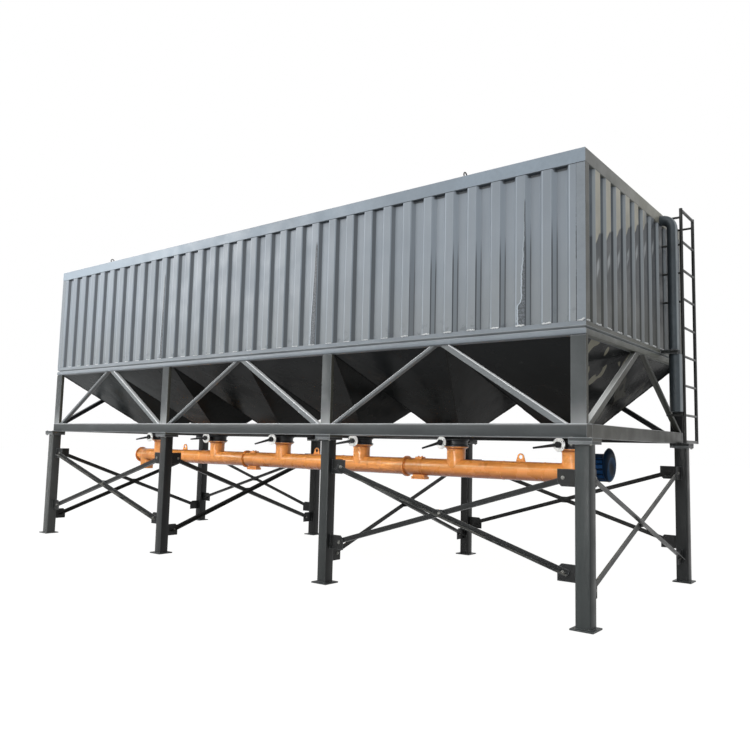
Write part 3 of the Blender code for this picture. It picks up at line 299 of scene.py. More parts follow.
def enamel(
    name, colour, roughness=0.42, mottle=0.16, dust=0.2, specular=0.4, dust_and_highlight_colour=None, under=1.0, patchy=True,
    shaded=(), lit_levels=(), lit=(), black_above=None, settle=(0.4, 0.95), edges_worn_and_lit=0.0, left_light=None,
    end_colours=None, dark_below=None,
):
    """Sprayed paint: cloudy in tone, with fine orange peel, dust on what faces up and painted shade beneath.

    dust and dust_and_highlight_colour are the share and colour of what lies on upward faces: dust, and,
    where that colour is near-white, a painted highlight too; settle is how far up a face has to look for it.
    under is the share of the tone that stays on what faces down; the rest is painted shade.
    shaded has (axis, sign, share) for each side with painted shade.
    lit_levels has (z, half its height, share) for each line painted lighter as painted light.
    lit has (posts, low, high, share) for the stretches between posts painted lighter as painted light.
    edges_worn_and_lit is the share of edge wear and painted highlight along the edges.
    left_light is the lighter colour painted towards the left as painted light, end_colours are the near and
    the far one of the right end.
    dark_below has (z, share) for painted shade below z, and black_above is the z from which the paint is
    black.
    """
    n = Nodes(name)
    tone, fine = sprayed(n, colour, mottle)
    upward = n.ramp(n.facing_z, *settle)
    # Painted highlight: the colour is kept on the rounded upper edges and thinned on flat tops.
    if settle == SLOPES_TOO:
        upward = n.times(upward, n.ramp(n.facing_z, 0.85, 0.97, 1.0, 0.3))
    # Painted light: towards the left end the colour turns lighter and bluer, as if lit more.
    if left_light:
        tone = n.mix(n.ramp(n.x, 0.5, -2.8, 0.0, 0.7), tone, left_light)
    # Dust on what faces up; where its colour is near-white, as on the trusses, it is also a painted
    # highlight.
    spread = n.times(upward, n.ramp(n.noise(9, 4), 0.3, 0.65)) if patchy else upward
    dust_and_highlight_tone = dust_and_highlight_colour or tuple(0.55 * channel + 0.16 for channel in colour[:3]) + (1.0,)
    tone = n.mix(n.times(spread, dust), tone, dust_and_highlight_tone)
    # Painted shade on what faces down.
    if under < 1:
        downward = n.ramp(n.facing_z, -0.3, -0.7, 0.0, 1.0 - under)
        tone = n.mix(downward, tone, PURE_BLACK)
    if end_colours:
        near, far = end_colours
        painted = n.mix(n.ramp(n.y, -1.1, 0.6), near, far)
        painted = n.mix(n.times(fine, 0.25), painted, shade(near, 0.7))
        at_end = n.ramp(n.x, END_X - 0.05, END_X - 0.04)
        at_end = n.times(at_end, n.ramp(n.size(n.y), SIDE_OF_END_Y, SIDE_OF_END_Y - 0.01))
        at_end = n.times(at_end, n.ramp(n.facing_z, 0.5, 0.3))
        tone = n.mix(n.math("MAXIMUM", n.ramp(n.facing_x, 0.5, 0.8), at_end), tone, painted)
    # Painted light: level lines lightened, as highlights along the chord's edges and against the shade in the
    # rail's groove.
    for level, half, share in lit_levels:
        painted_light = n.times(band(n, n.z, level, half, 0.002), n.ramp(n.noise(3, 4), 0.3, 0.6, share * 0.6, share))
        tone = n.mix(painted_light, tone, WORN_AND_LIT)
    # Painted light: between the posts, from low to high, the diagonals are lightened as if lit.
    if lit:
        posts, low, high, share = lit
        clear = n.times(n.ramp(n.z, low, low + 0.01), n.ramp(n.z, high, high - 0.01))
        clear = n.times(clear, n.ramp(n.distance(n.x, MIDDLE_X), CORNER_REACH, CORNER_REACH - 0.005))
        for post in posts:
            clear = n.times(clear, n.ramp(n.distance(n.x, post), 0.062, 0.07))
        tone = n.mix(n.times(clear, share), tone, WORN_AND_LIT)
    # Painted shade below the given z.
    if dark_below:
        tone = n.mix(n.ramp(n.z, dark_below[0], dark_below[0] - 0.003, 0.0, dark_below[1]), tone, PURE_BLACK)
    if black_above:
        tone = n.mix(n.ramp(n.z, black_above, black_above + 0.002), tone, srgb(16, 16, 16))
    for axis, sign, share in shaded:
        facing = n.times((n.facing_x, n.facing_y, n.facing_z)[axis], sign)
        tone = n.mix(n.ramp(facing, 0.4, 0.9, 0.0, share), tone, PURE_BLACK)
    # Edge wear and painted highlight along the edges.
    if edges_worn_and_lit:
        tone = worn_and_lit_edges(n, tone, edges_worn_and_lit)
    gloss = n.ramp(n.noise(6, 3), 0.25, 0.75, roughness - 0.07, roughness + 0.1)
    n.orange_peel()
    return n.finish(tone, gloss, specular=specular)


def worn_and_lit_edges(n, tone, share):
    """Light paint along the edges of a bar or a plate: edge wear, and a painted highlight."""
    rounded = n.add("ShaderNodeBevel")
    rounded.samples = 6
    rounded.inputs["Radius"].default_value = 0.008
    dot = n.add("ShaderNodeVectorMath")
    dot.operation = "DOT_PRODUCT"
    n.link(rounded.outputs[0], dot.inputs[0])
    n.link(n.facing, dot.inputs[1])
    edge = n.ramp(dot.outputs["Value"], 0.995, 0.9)
    patchy = n.ramp(n.noise(6, 4), 0.3, 0.6, 0.35 * share, share)
    return n.mix(n.times(edge, patchy), tone, WORN_AND_LIT)


def band(n, value, middle, half, soft):
    """One within half of the middle, fading over soft."""
    distance = n.distance(value, middle)
    return n.ramp(distance, half, n.plus(half, soft), 1.0, 0.0)


def rib_marks(n, along, facing, tone, colour, sheet, shaded):
    """Painted light and shade on a rib: a painted highlight on the ridge and a fainter one on the crest's far
    edge; the slope lightened as if lit, most near the top and least where shaded is high; where shaded is
    high, painted shade on the slope and painted light on its outer part; and dark lines along the slope's
    bends, stronger towards the foot.
    """
    first_ridge, pitch, crest, slope = sheet
    lead = 0.02
    end = lead + crest
    shifted = n.math("DIVIDE", n.minus(along, first_ridge - lead), pitch)
    place = n.times(n.math("FRACT", shifted), pitch)
    patchy = n.ramp(n.noise(2.2, 3, stretch=(1, 1, 0.4)), 0.25, 0.6, 0.35, 1.0)
    low = n.ramp(n.plus(n.z, n.times(n.noise(1.3, 2), 0.5)), 2.45, 3.3, 1.0, 0.0)
    clear = n.minus(1.0, shaded)
    slanted = n.ramp(facing, 0.3, 0.6)
    # Painted light: the slope lightened, most near the top, less where shaded is high.
    painted_light = n.times(slanted, n.times(n.ramp(low, 0, 1, 0.75, 0.2), clear))
    tone = n.mix(painted_light, tone, shade(colour, 1.35))
    # Where shaded is high: painted light on the slope's outer part, painted shade on the rest of it.
    outer = n.ramp(place, end + 0.006, end + 0.009, 1.0, 0.0)
    tone = n.mix(n.times(n.times(slanted, shaded), outer), tone, shade(colour, 1.3))
    inner = n.minus(0.85, n.times(outer, 0.85))
    tone = n.mix(n.times(n.times(slanted, shaded), inner), tone, shade(colour, 0.3))
    for bend in (end + 0.003, end + slope + 0.001):
        line = n.times(band(n, place, bend, 0.002, 0.004), n.ramp(low, 0.05, 0.6, 0.0, 0.9))
        line = n.times(line, n.ramp(shaded, 0.0, 1.0, 1.0, 0.25))
        tone = n.mix(line, tone, shade(colour, 0.2))
    # Painted highlights: a light line on the ridge and a fainter one on the crest's far edge.
    ridge = n.times(band(n, place, lead + 0.002, 0.003, 0.004), patchy)
    tone = n.mix(n.times(ridge, 0.75), tone, shade(colour, 1.65))
    far = n.times(band(n, place, end - 0.003, 0.0015, 0.004), patchy)
    return n.mix(n.times(far, 0.3), tone, shade(colour, 1.4))


def torn_joint(n, tone, colour, edge_x, levels, wave):
    """A lapped joint left of a rib: dull speckled metal behind a ragged edge with a pale rim."""
    left = n.minus(edge_x, n.x)
    ragged = n.minus(n.noise(13, 5, 0.72, stretch=(0.2, 0.2, 1.0)), 0.5)
    width = n.times(ragged, n.ramp(n.z, 2.2, 3.0, wave, wave * 0.25))
    for low, high, start, end in levels:
        width = n.plus(width, n.ramp(n.z, low, high, start, end))
    inside = n.times(n.ramp(left, width, n.plus(width, 0.002), 1, 0), n.ramp(left, -0.004, 0.0))
    ends = n.ramp(n.z, 2.98, 3.04, 1.0, 0.0)
    inside = n.times(inside, ends)
    specks = n.mix(n.ramp(n.noise(60, 4, 0.7), 0.42, 0.6), shade(colour, 0.2), shade(colour, 0.5))
    tone = n.mix(inside, tone, specks)
    line = n.times(band(n, left, width, 0.0015, 0.003), n.times(ends, 0.8))
    tone = n.mix(line, tone, shade(colour, 0.22))
    rim = band(n, left, n.plus(width, 0.009), 0.002, 0.004)
    rim = n.times(rim, n.ramp(n.z, 2.3, 2.9, 0.8, 0.0))
    return n.mix(rim, tone, shade(colour, 2.1))


def wall_paint(name, joints):
    """The long sheet's blue-grey paint, with painted highlights on the ridges, painted light and shade on the
    ribs, dark lines along their bends, torn joints, a smudged foot, painted shade away from the left end and
    a painted shadow under the top rail.
    """
    colour = srgb(140, 149, 158)
    n = Nodes(name)
    leftward = n.ramp(n.x, 2.3, 1.5)
    cloud = n.ramp(n.noise(1.7, 5, stretch=(1, 1, 0.45)), 0.3, 0.72)
    tone = n.mix(cloud, shade(colour, 0.9), shade(colour, 1.06))
    runs = n.ramp(n.noise(5.5, 4, 0.6, stretch=(4, 4, 0.22)), 0.45, 0.8)
    tone = n.mix(n.times(runs, 0.25), tone, shade(colour, 0.72))
    height = n.minus(n.z, RAIL_TOP_Z)
    warm = n.ramp(n.plus(height, n.times(n.noise(1.5, 3), 0.5)), 0.2, 1.0, 0.6, 0.0)
    tone = n.mix(warm, tone, srgb(134, 138, 139))
    tone = rib_marks(n, n.x, n.facing_x, tone, colour, FRONT_SHEET, leftward)
    for joint in joints:
        tone = torn_joint(n, tone, colour, *joint)
    # Painted shade: from x = -2.8 rightwards the wall is darkened a little, so that its left end looks more
    # lit.
    bluish_black = (0, 0.01, 0.012, 1)
    tone = n.mix(n.ramp(n.x, -2.8, -0.5, 0.0, 0.13), tone, bluish_black)
    foot = n.ramp(height, 0.0, 0.16, 1.0, 0.0)
    smudge = n.times(foot, n.ramp(n.noise(13, 5, 0.7), 0.54, 0.64))
    tone = n.mix(n.times(smudge, 0.6), tone, shade(colour, 0.4))
    # Painted shadow under the top rail, on the recesses, thinner towards the left.
    edge_z = n.ramp(leftward, 0.0, 1.0, 3.184, 3.2)
    top = n.ramp(n.minus(n.z, edge_z), 0.0, 0.007)
    rail_shadow = n.times(top, n.ramp(n.size(n.y), 1.176, 1.19, 1.0, 0.0))
    tone = n.mix(n.times(rail_shadow, 0.9), tone, shade(colour, 0.12))
    last_seam_x = 3.3835
    seam = band(n, n.plus(n.x, n.times(n.noise(30, 3), 0.006)), last_seam_x, 0.0012, 0.0015)
    dashes = n.times(n.ramp(n.noise(7, 4, 0.7, stretch=(0.1, 0.1, 1.0)), 0.4, 0.5), n.ramp(n.z, 2.95, 2.8))
    tone = n.mix(n.times(seam, dashes), tone, shade(colour, 0.1))
    gloss = n.ramp(n.noise(4, 4), 0.3, 0.7, 0.36, 0.5)
    n.bump(n.noise(3.2, 2, 0.4), 0.3, 0.01)
    return n.finish(tone, gloss, specular=0.4)


def end_wall_paint(name):
    """The end sheet: beige crests and blue-grey hollows above a slanting border, dark smudged paint below."""
    n = Nodes(name)
    first_ridge, pitch, crest, _ = END_SHEET
    place = n.math("FRACT", n.math("DIVIDE", n.minus(n.y, first_ridge), pitch))
    across = n.math("DIVIDE", n.times(place, pitch), crest)
    out = n.ramp(n.distance(n.x, MIDDLE_X), END_REACH - 0.015, END_REACH - 0.005)
    flat = n.ramp(n.size(n.facing_x), 0.85, 0.95)
    on_crest = n.times(out, flat)
    cloud = n.ramp(n.noise(2.5, 5), 0.3, 0.7)
    border_slope, border_z = 0.34, 2.63
    level = n.minus(n.z, n.times(n.plus(n.y, 1.15), border_slope))
    level = n.minus(level, n.times(n.ramp(across, 0.0, 0.8), 0.06))
    level = n.plus(level, n.times(n.noise(7, 3), 0.05))
    low = n.mix(n.ramp(n.z, 2.1, 2.7), srgb(84, 86, 82), srgb(64, 70, 76))
    low = n.mix(n.times(cloud, 0.5), low, srgb(58, 62, 64))
    smudge = n.times(band(n, level, 2.43, 0.02, 0.05), band(n, across, 0.45, 0.1, 0.3))
    smudge = n.times(smudge, n.times(on_crest, n.ramp(n.noise(9, 3), 0.3, 0.5, 0.4, 0.75)))
    low = n.mix(smudge, low, srgb(170, 176, 180))
    beige = n.mix(cloud, srgb(160, 158, 145), srgb(186, 183, 168))
    hollow = n.mix(cloud, srgb(84, 93, 101), srgb(106, 114, 121))
    fading = n.ramp(n.y, 0.03, 0.2)
    beige = n.mix(fading, beige, srgb(96, 103, 110))
    high = n.mix(on_crest, hollow, beige)
    tone = n.mix(n.ramp(level, border_z, border_z + 0.025), low, high)
    slope = n.ramp(n.size(n.facing_y), 0.3, 0.6)
    slope = n.times(slope, n.ramp(n.distance(n.x, MIDDLE_X), END_REACH - 0.021, END_REACH - 0.015))
    pale = n.mix(n.ramp(n.z, 2.1, 2.9), srgb(146, 150, 152), srgb(156, 164, 170))
    tone = n.mix(n.times(slope, 0.95), tone, pale)
    ridge = n.times(band(n, across, 0.02, 0.02, 0.05), n.ramp(n.noise(3, 3), 0.3, 0.6, 0.3, 0.8))
    tone = n.mix(n.times(ridge, out), tone, srgb(176, 182, 186))
    tone = n.mix(n.times(n.ramp(n.y, 0.25, 0.7, 0.0, 0.6), flat), tone, srgb(30, 38, 46))
    fleck = n.ramp(n.noise(26, 4, 0.7), 0.7, 0.74)
    tone = n.mix(n.times(fleck, 0.4), tone, srgb(150, 152, 146))
    gloss = n.ramp(n.noise(4, 4), 0.3, 0.7, 0.38, 0.55)
    n.bump(n.noise(3.2, 2, 0.4), 0.3, 0.01)
    return n.finish(tone, gloss, specular=0.4)


def hopper_paint():
    """Near-black gloss with brown patches and streaks of dust run down the slopes; a painted reflection on
    the left hoppers, painted shade towards the bottom, painted light towards the top and on the right-facing
    facets, and a pale painted reflection on the right end's face.
    """
    colour = srgb(15, 17, 17)
    n = Nodes("hopper_paint_gloss")
    cloud = n.ramp(n.noise(2.1, 5, 0.6), 0.35, 0.7)
    tone = n.mix(cloud, shade(colour, 0.6), shade(colour, 1.3))
    # Painted reflection: the left hoppers lighter, most near their tops.
    lit = n.times(n.ramp(n.x, -1.2, -2.8), n.ramp(n.z, 1.4, 2.0, 0.25, 1.0))
    tone = n.mix(n.times(lit, 0.8), tone, srgb(84, 89, 90))
    brown = n.ramp(n.noise(1.6, 6, 0.72, distortion=0.6), 0.54, 0.68)
    tone = n.mix(n.times(brown, 0.4), tone, srgb(66, 60, 53))
    streak = n.ramp(n.noise(7, 4, 0.6, stretch=(3, 3, 0.4)), 0.6, 0.85)
    tone = n.mix(n.times(streak, 0.25), tone, srgb(80, 80, 77))
    # Painted shade towards the bottom and painted light towards the top.
    tone = n.mix(n.ramp(n.z, 1.7, 1.4, 0.0, 0.4), tone, shade(colour, 0.5))
    tone = n.mix(n.ramp(n.z, 1.65, 2.0, 0.0, 0.45), tone, srgb(46, 48, 50))
    # Painted light on the facets that face right.
    rightward = n.times(n.ramp(n.facing_x, 0.2, 0.5), n.ramp(n.x, 2.9, 2.7))
    tone = n.mix(n.times(rightward, 0.6), tone, srgb(44, 46, 46))
    # Pale painted reflection on the right end's face.
    end = n.times(n.ramp(n.x, 3.0, 3.02), n.ramp(n.facing_x, 0.4, 0.5))
    end = n.times(end, n.ramp(n.noise(5.5, 1, 0.3, distortion=0.8), 0.6, 0.63))
    pale = n.times(end, n.ramp(n.y, -0.1, 0.1, 0.8, 0.15))
    tone = n.mix(pale, tone, srgb(150, 147, 130))
    gloss = n.ramp(n.noise(3, 4), 0.3, 0.7, 0.16, 0.34)
    n.bump(n.noise(2.6, 3, 0.5), 0.3, 0.02)
    return n.finish(tone, gloss, specular=0.035)


def conveyor_paint():
    """Glossy orange with brushed bands, dull patches and dark scuffs, painted shade beneath and along the
    top, and a painted highlight line along the tube.
    """
    colour = srgb(255, 167, 85)
    n = Nodes("conveyor_paint_brushed")
    brush = n.ramp(n.noise(9, 5, 0.65, stretch=(0.2, 2.4, 2.4)), 0.35, 0.68)
    tone = n.mix(brush, shade(colour, 0.88), shade(colour, 1.03))
    dull = n.ramp(n.noise(4, 5, 0.6), 0.5, 0.72)
    tone = n.mix(n.times(dull, 0.35), tone, srgb(214, 128, 66))
    scuff = n.ramp(n.noise(21, 5, 0.75), 0.66, 0.73)
    tone = n.mix(n.times(scuff, 0.6), tone, srgb(140, 80, 44))
    # Painted shade on what faces down.
    beneath = n.ramp(n.facing_z, 0.0, -0.9, 0.0, 0.9)
    tone = n.mix(beneath, tone, srgb(136, 66, 26))
    # Painted shade along the top of the tube.
    crown = n.ramp(n.facing_z, 0.8, 0.98, 0.0, 0.45)
    tone = n.mix(crown, tone, srgb(150, 70, 28))
    dent = n.ramp(n.noise(5, 2, 0.3, stretch=(1.6, 1, 1)), 0.68, 0.76)
    tone = n.mix(n.times(dent, 0.45), tone, srgb(170, 92, 44))
    # Painted highlight: a cream line along the tube, a little above its middle.
    sheen = n.times(band(n, n.facing_z, 0.2, 0.03, 0.12), n.ramp(n.noise(5, 4, 0.7), 0.3, 0.6))
    sheen = n.times(sheen, n.ramp(n.z, TUBE_Z + 0.05, TUBE_Z + 0.04))
    tone = n.mix(n.times(sheen, 0.5), tone, srgb(255, 214, 156))
    gloss = n.ramp(n.noise(7, 4), 0.3, 0.7, 0.18, 0.34)
    n.bump(n.noise(40, 3, 0.6, stretch=(0.3, 1, 1)), 0.15, 0.001)
    return n.finish(tone, gloss, specular=0.45)


def valve_paint():
    """Black body, with the notched plate in front of it left in bright zinc."""
    n = Nodes("valve_paint_black")
    black = n.mix(n.ramp(n.noise(12, 4), 0.3, 0.7), srgb(14, 15, 17), srgb(28, 30, 33))
    bright = n.mix(n.ramp(n.noise(60, 4), 0.3, 0.7), srgb(226, 226, 222), srgb(252, 252, 250))
    side = n.math("FLOORED_MODULO", n.minus(n.x, FRAMES_X[0]), OUTLET_SPACING)
    side = n.minus(side, OUTLET_SPACING / 2)
    reach = n.radius(side, n.y)
    plate_reach = 0.1905
    plate = n.times(n.ramp(reach, plate_reach, plate_reach + 0.001), n.ramp(n.y, -0.17, -0.175))
    rise = n.minus(n.z, VALVE_Z)
    around = n.math("ARCTAN2", rise, side)
    reach = n.radius(side, rise)
    teeth = n.ramp(n.math("FRACT", n.times(around, 1.4)), 0.55, 0.6)
    slot = n.times(band(n, reach, 0.028, 0.0035, 0.001), teeth)
    bright = n.mix(slot, bright, srgb(16, 16, 16))
    tone = n.mix(plate, black, bright)
    gloss = n.ramp(n.noise(18, 3), 0.3, 0.7, 0.32, 0.48)
    n.bump(n.noise(110, 3), 0.2, 0.0006)
    return n.finish(tone, gloss, specular=0.45)


def leg_paint(index, colour, side_share, frame_x, half, inner_share=1.0):
    """Leg enamel with near-black gussets, shaded right and inner faces and bright flange plates."""
    n = Nodes(f"leg_paint_{index}")
    tone, _ = sprayed(n, colour, 0.16)
    scrape = n.ramp(n.noise(10, 5, 0.72, stretch=(1, 1, 0.5)), 0.68, 0.72)
    tone = n.mix(n.times(scrape, 0.35), tone, shade(colour, 2.2))
    right = n.ramp(n.facing_x, 0.5, 0.9, 0.0, 1.0 - side_share)
    tone = n.mix(right, tone, PURE_BLACK)
    inner = n.ramp(n.facing_y, -0.5, -0.9, 0.0, 1.0 - inner_share)
    tone = n.mix(inner, tone, PURE_BLACK)
    beyond_x = n.ramp(n.distance(n.x, frame_x), half + 0.002, half + 0.006)
    beyond_y = n.ramp(n.size(n.y), LEG_Y - half - 0.002, LEG_Y - half - 0.006)
    gusset = n.times(n.math("MAXIMUM", beyond_x, beyond_y), n.ramp(n.z, 1.21, 1.2))
    gusset = n.times(gusset, n.ramp(n.z, 0.02, 0.03))
    tone = n.mix(n.times(gusset, 0.9), tone, srgb(20, 21, 21))
    plates = n.times(n.ramp(n.z, 1.222, 1.225), n.ramp(n.noise(9, 4), 0.25, 0.6, 0.4, 1.0))
    plates = n.times(plates, n.ramp(n.facing_x, 0.5, 0.9, 1.0, 0.2))
    tone = n.mix(n.times(plates, 0.5), tone, srgb(138, 142, 144))
    tone = worn_and_lit_edges(n, tone, 0.3)
    gloss = n.ramp(n.noise(6, 3), 0.25, 0.75, 0.35, 0.52)
    n.orange_peel()
    return n.finish(tone, gloss, specular=0.25)


def motor_paint():
    """Navy enamel with light flecks; on the end, a dish with painted shade in its middle, painted highlights
    in streaks on its lower part and a near-black rim.
    """
    n = Nodes("motor_paint_navy")
    navy = n.mix(n.ramp(n.noise(9, 4), 0.3, 0.7), srgb(12, 32, 56), srgb(20, 52, 88))
    navy = n.mix(n.ramp(n.noise(30, 4, 0.7), 0.66, 0.72, 0.0, 0.5), navy, srgb(90, 120, 140))
    rise = n.minus(n.z, MOTOR_Z)
    reach = n.radius(n.y, rise)
    # Painted shade: the dish darker in its middle.
    dish = n.mix(n.ramp(reach, 0.03, 0.09), srgb(10, 22, 36), srgb(24, 60, 94))
    # Painted highlights: lighter streaks on the dish's lower part.
    streak = n.ramp(n.noise(16, 4, 0.7, stretch=(1, 1, 0.5)), 0.6, 0.7, 0.0, 0.55)
    dish = n.mix(n.times(streak, n.ramp(rise, 0.02, -0.03)), dish, srgb(96, 128, 146))
    tone = n.mix(n.ramp(n.facing_x, 0.3, 0.5), navy, dish)
    rim = n.ramp(reach, 0.0985, 0.102)
    tone = n.mix(n.times(rim, 0.85), tone, srgb(6, 14, 26))
    n.bump(n.noise(120, 2), 0.15, 0.0006)
    return n.finish(tone, 0.35, specular=0.03)


def pipe_paint():
    """Dark grey pipe with painted shade on its left and a painted highlight near its right edge."""
    n = Nodes("pipe_paint_streaked")
    tone = n.mix(n.ramp(n.noise(3, 5), 0.3, 0.7), srgb(64, 72, 77), srgb(82, 91, 97))
    tone = n.mix(n.ramp(n.noise(28, 4, 0.7), 0.35, 0.7, 0.0, 0.25), tone, srgb(46, 52, 56))
    # Painted shade on the side turned away from this direction and a painted highlight on the side turned to
    # it.
    right_x, right_y = 0.788, 0.615
    turned = n.plus(n.times(n.facing_x, right_x), n.times(n.facing_y, right_y))
    tone = n.mix(n.ramp(turned, -0.4, -0.95, 0.0, 0.6), tone, srgb(18, 21, 23))
    bright = n.times(band(n, turned, 0.45, 0.12, 0.25), n.ramp(n.noise(4, 3), 0.3, 0.6, 0.5, 0.9))
    tone = n.mix(bright, tone, srgb(160, 168, 172))
    strap = n.times(band(n, n.z, CLAMP_Z, 0.0155, 0.001), 0.85)
    tone = n.mix(strap, tone, srgb(22, 23, 23))
    gloss = n.ramp(n.noise(6, 3), 0.25, 0.75, 0.32, 0.46)
    n.orange_peel()
    return n.finish(tone, gloss, specular=0.3)


def zinc(name, colour, roughness):
    """Galvanised steel with its faint spangle."""
    n = Nodes(name)
    cells = n.add("ShaderNodeTexVoronoi")
    n.link(n.position, cells.inputs["Vector"])
    cells.inputs["Scale"].default_value = 120
    tone = n.mix(n.ramp(cells.outputs["Distance"], 0.1, 0.8), shade(colour, 0.82), shade(colour, 1.12))
    gloss = n.ramp(n.noise(30, 3), 0.3, 0.7, roughness - 0.06, roughness + 0.1)
    n.bump(n.noise(90, 3), 0.2, 0.0005)
    return n.finish(tone, gloss, metallic=0.75)


FRONT_WALL = wall_paint("wall_paint_front", JOINTS)
BACK_WALL = wall_paint("wall_paint_back", ())
END_WALL = end_wall_paint("end_wall_paint_worn")
# Painted light towards the left and painted shade beneath.
TOP_RAIL = enamel(
    "rail_paint_top", srgb(130, 142, 153), mottle=0.1, dust=0.35, under=0.3, black_above=EYE_Z,
    left_light=srgb(161, 175, 187), end_colours=(srgb(108, 110, 107), srgb(150, 149, 137)), edges_worn_and_lit=0.25,
)
# Painted light towards the left and in the groove at the seam, and painted shade beneath.
RAIL = enamel(
    "rail_paint_grey", srgb(121, 129, 136), mottle=0.1, dust=0.35, under=0.5,
    lit_levels=((SEAM_Z + 0.004, 0.011, 0.6),), left_light=srgb(140, 147, 153),
    end_colours=(srgb(76, 78, 72), srgb(102, 104, 96)), edges_worn_and_lit=0.25,
)
ROOF = enamel("roof_paint_dusty", srgb(142, 148, 152), roughness=0.5, mottle=0.14, dust=0.5)
# Painted light and shade on the front truss: dust with a near-white painted highlight on upward faces and
# rounded upper edges, painted shade beneath and below the chord's top, diagonals painted lighter between the
# posts, and highlight lines along the chord's edges.
TRUSS = enamel(
    "truss_paint_grey", srgb(68, 72, 73), mottle=0.15, dust=1.0, specular=0.25, dust_and_highlight_colour=srgb(250, 252, 253),
    under=0.12, patchy=False, settle=SLOPES_TOO, end_colours=(srgb(74, 74, 67), srgb(74, 74, 67)), edges_worn_and_lit=0.4,
    dark_below=(CHORD_TOP_Z - 0.006, 0.24), lit=(POSTS_X, CHORD_TOP_Z, RAIL_BOTTOM_Z, 0.27),
    lit_levels=((CHORD_TOP_Z - 0.003, 0.002, 0.7), (CHORD_BOTTOM_Z + 0.004, 0.003, 0.55)),
)
# Dust with a near-white painted highlight on upward faces and rounded upper edges, and painted shade beneath.
END_TRUSS = enamel(
    "truss_paint_end", srgb(58, 60, 56), mottle=0.15, dust=1.0, specular=0.25, dust_and_highlight_colour=srgb(240, 242, 240),
    under=0.12, patchy=False, settle=SLOPES_TOO, end_colours=(srgb(78, 78, 72), srgb(56, 57, 52)), edges_worn_and_lit=0.6,
)
FAR_TRUSS = enamel(
    "truss_paint_shaded", srgb(82, 87, 91), mottle=0.15, dust=0.2, specular=0.2,
    under=0.12, shaded=((1, -1, 0.9), (0, 1, 0.85)),
)
# Painted light and shade: each leg has its own tone, as light as that leg looks lit, and a share that keeps
# that much of it on its right faces; the back legs keep their share on their inner faces too.
FRONT_LEG_TONES = (
    (srgb(78, 80, 79), 0.8),
    (srgb(48, 50, 50), 0.2),
    (srgb(46, 49, 49), 0.35),
    (srgb(56, 60, 60), 0.6),
)
BACK_LEG_TONE = srgb(60, 64, 65)
BACK_LEG_SHARES = (0.16, 0.1, 0.05, 0.3)
FRONT_LEGS = []
BACK_LEGS = []
for index, (tone, share) in enumerate(FRONT_LEG_TONES):
    FRONT_LEGS.append(leg_paint(index + 1, tone, share, FRAMES_X[index], LEG_HALF[index]))
for index, share in enumerate(BACK_LEG_SHARES):
    BACK_LEGS.append(leg_paint(index + 5, BACK_LEG_TONE, share, FRAMES_X[index], LEG_HALF[index], share))
BRACE = enamel(
    "brace_paint_grey", srgb(25, 27, 27), roughness=0.45, mottle=0.25, dust=0.8, specular=0.25,
    dust_and_highlight_colour=srgb(132, 131, 124), under=0.4, edges_worn_and_lit=0.15,
)
# Painted shade: a darker copy of the brace paint, with darker dust, for the back and cross braces.
SHADED_BRACE = enamel(
    "brace_paint_shaded", srgb(20, 21, 20), roughness=0.45, mottle=0.25, dust=0.5, specular=0.25,
    dust_and_highlight_colour=srgb(70, 70, 66), under=0.4,
)
END_BRACE = enamel(
    "brace_paint_end", srgb(27, 28, 26), roughness=0.4, mottle=0.25, dust=0.8, specular=0.3,
    dust_and_highlight_colour=srgb(150, 150, 140), under=0.3, edges_worn_and_lit=0.35,
)
HOPPER = hopper_paint()
ORANGE = conveyor_paint()
NAVY = motor_paint()
VALVE = valve_paint()
BLACK = enamel("lever_paint_black", srgb(18, 19, 20), roughness=0.4, mottle=0.2, dust=0.15, specular=0.2)
PIPE = pipe_paint()
# Dust on the rungs' tops, light enough to stand for their highlight too, and painted shade beneath.
LADDER = enamel(
    "ladder_paint_dark", srgb(34, 35, 34), roughness=0.36, mottle=0.2, dust=0.9, specular=0.3,
    dust_and_highlight_colour=srgb(150, 151, 144), under=0.3, settle=(0.2, 0.8), edges_worn_and_lit=0.3,
)
CLAMP = enamel(
    "clamp_paint", srgb(30, 32, 32), roughness=0.4, mottle=0.2, dust=0.4, specular=0.3,
    dust_and_highlight_colour=srgb(110, 112, 110), edges_worn_and_lit=0.4,
)
BOLT = zinc("bolt_steel", srgb(120, 120, 116), roughness=0.45)
HIP_WELD = enamel("hip_weld_paint", srgb(20, 21, 21), roughness=0.4, mottle=0.2, dust=0.0, specular=0.05)
SEAL = enamel("sealant_pale", srgb(214, 217, 218), roughness=0.5, mottle=0.15, dust=0.0)


def dress(name, material, edge):
    """Paint a CAD node and break its sharp edges, where edge is more than nothing."""
    node = NODES[name]
    node.data.materials.clear()
    node.data.materials.append(material)
    add_shading(node)
    if edge:
        bevel = node.modifiers.new("edge", "BEVEL")
        bevel.width = edge
        bevel.segments = 2
        bevel.limit_method = "ANGLE"
        bevel.angle_limit = math.radians(40)
        bevel.harden_normals = True


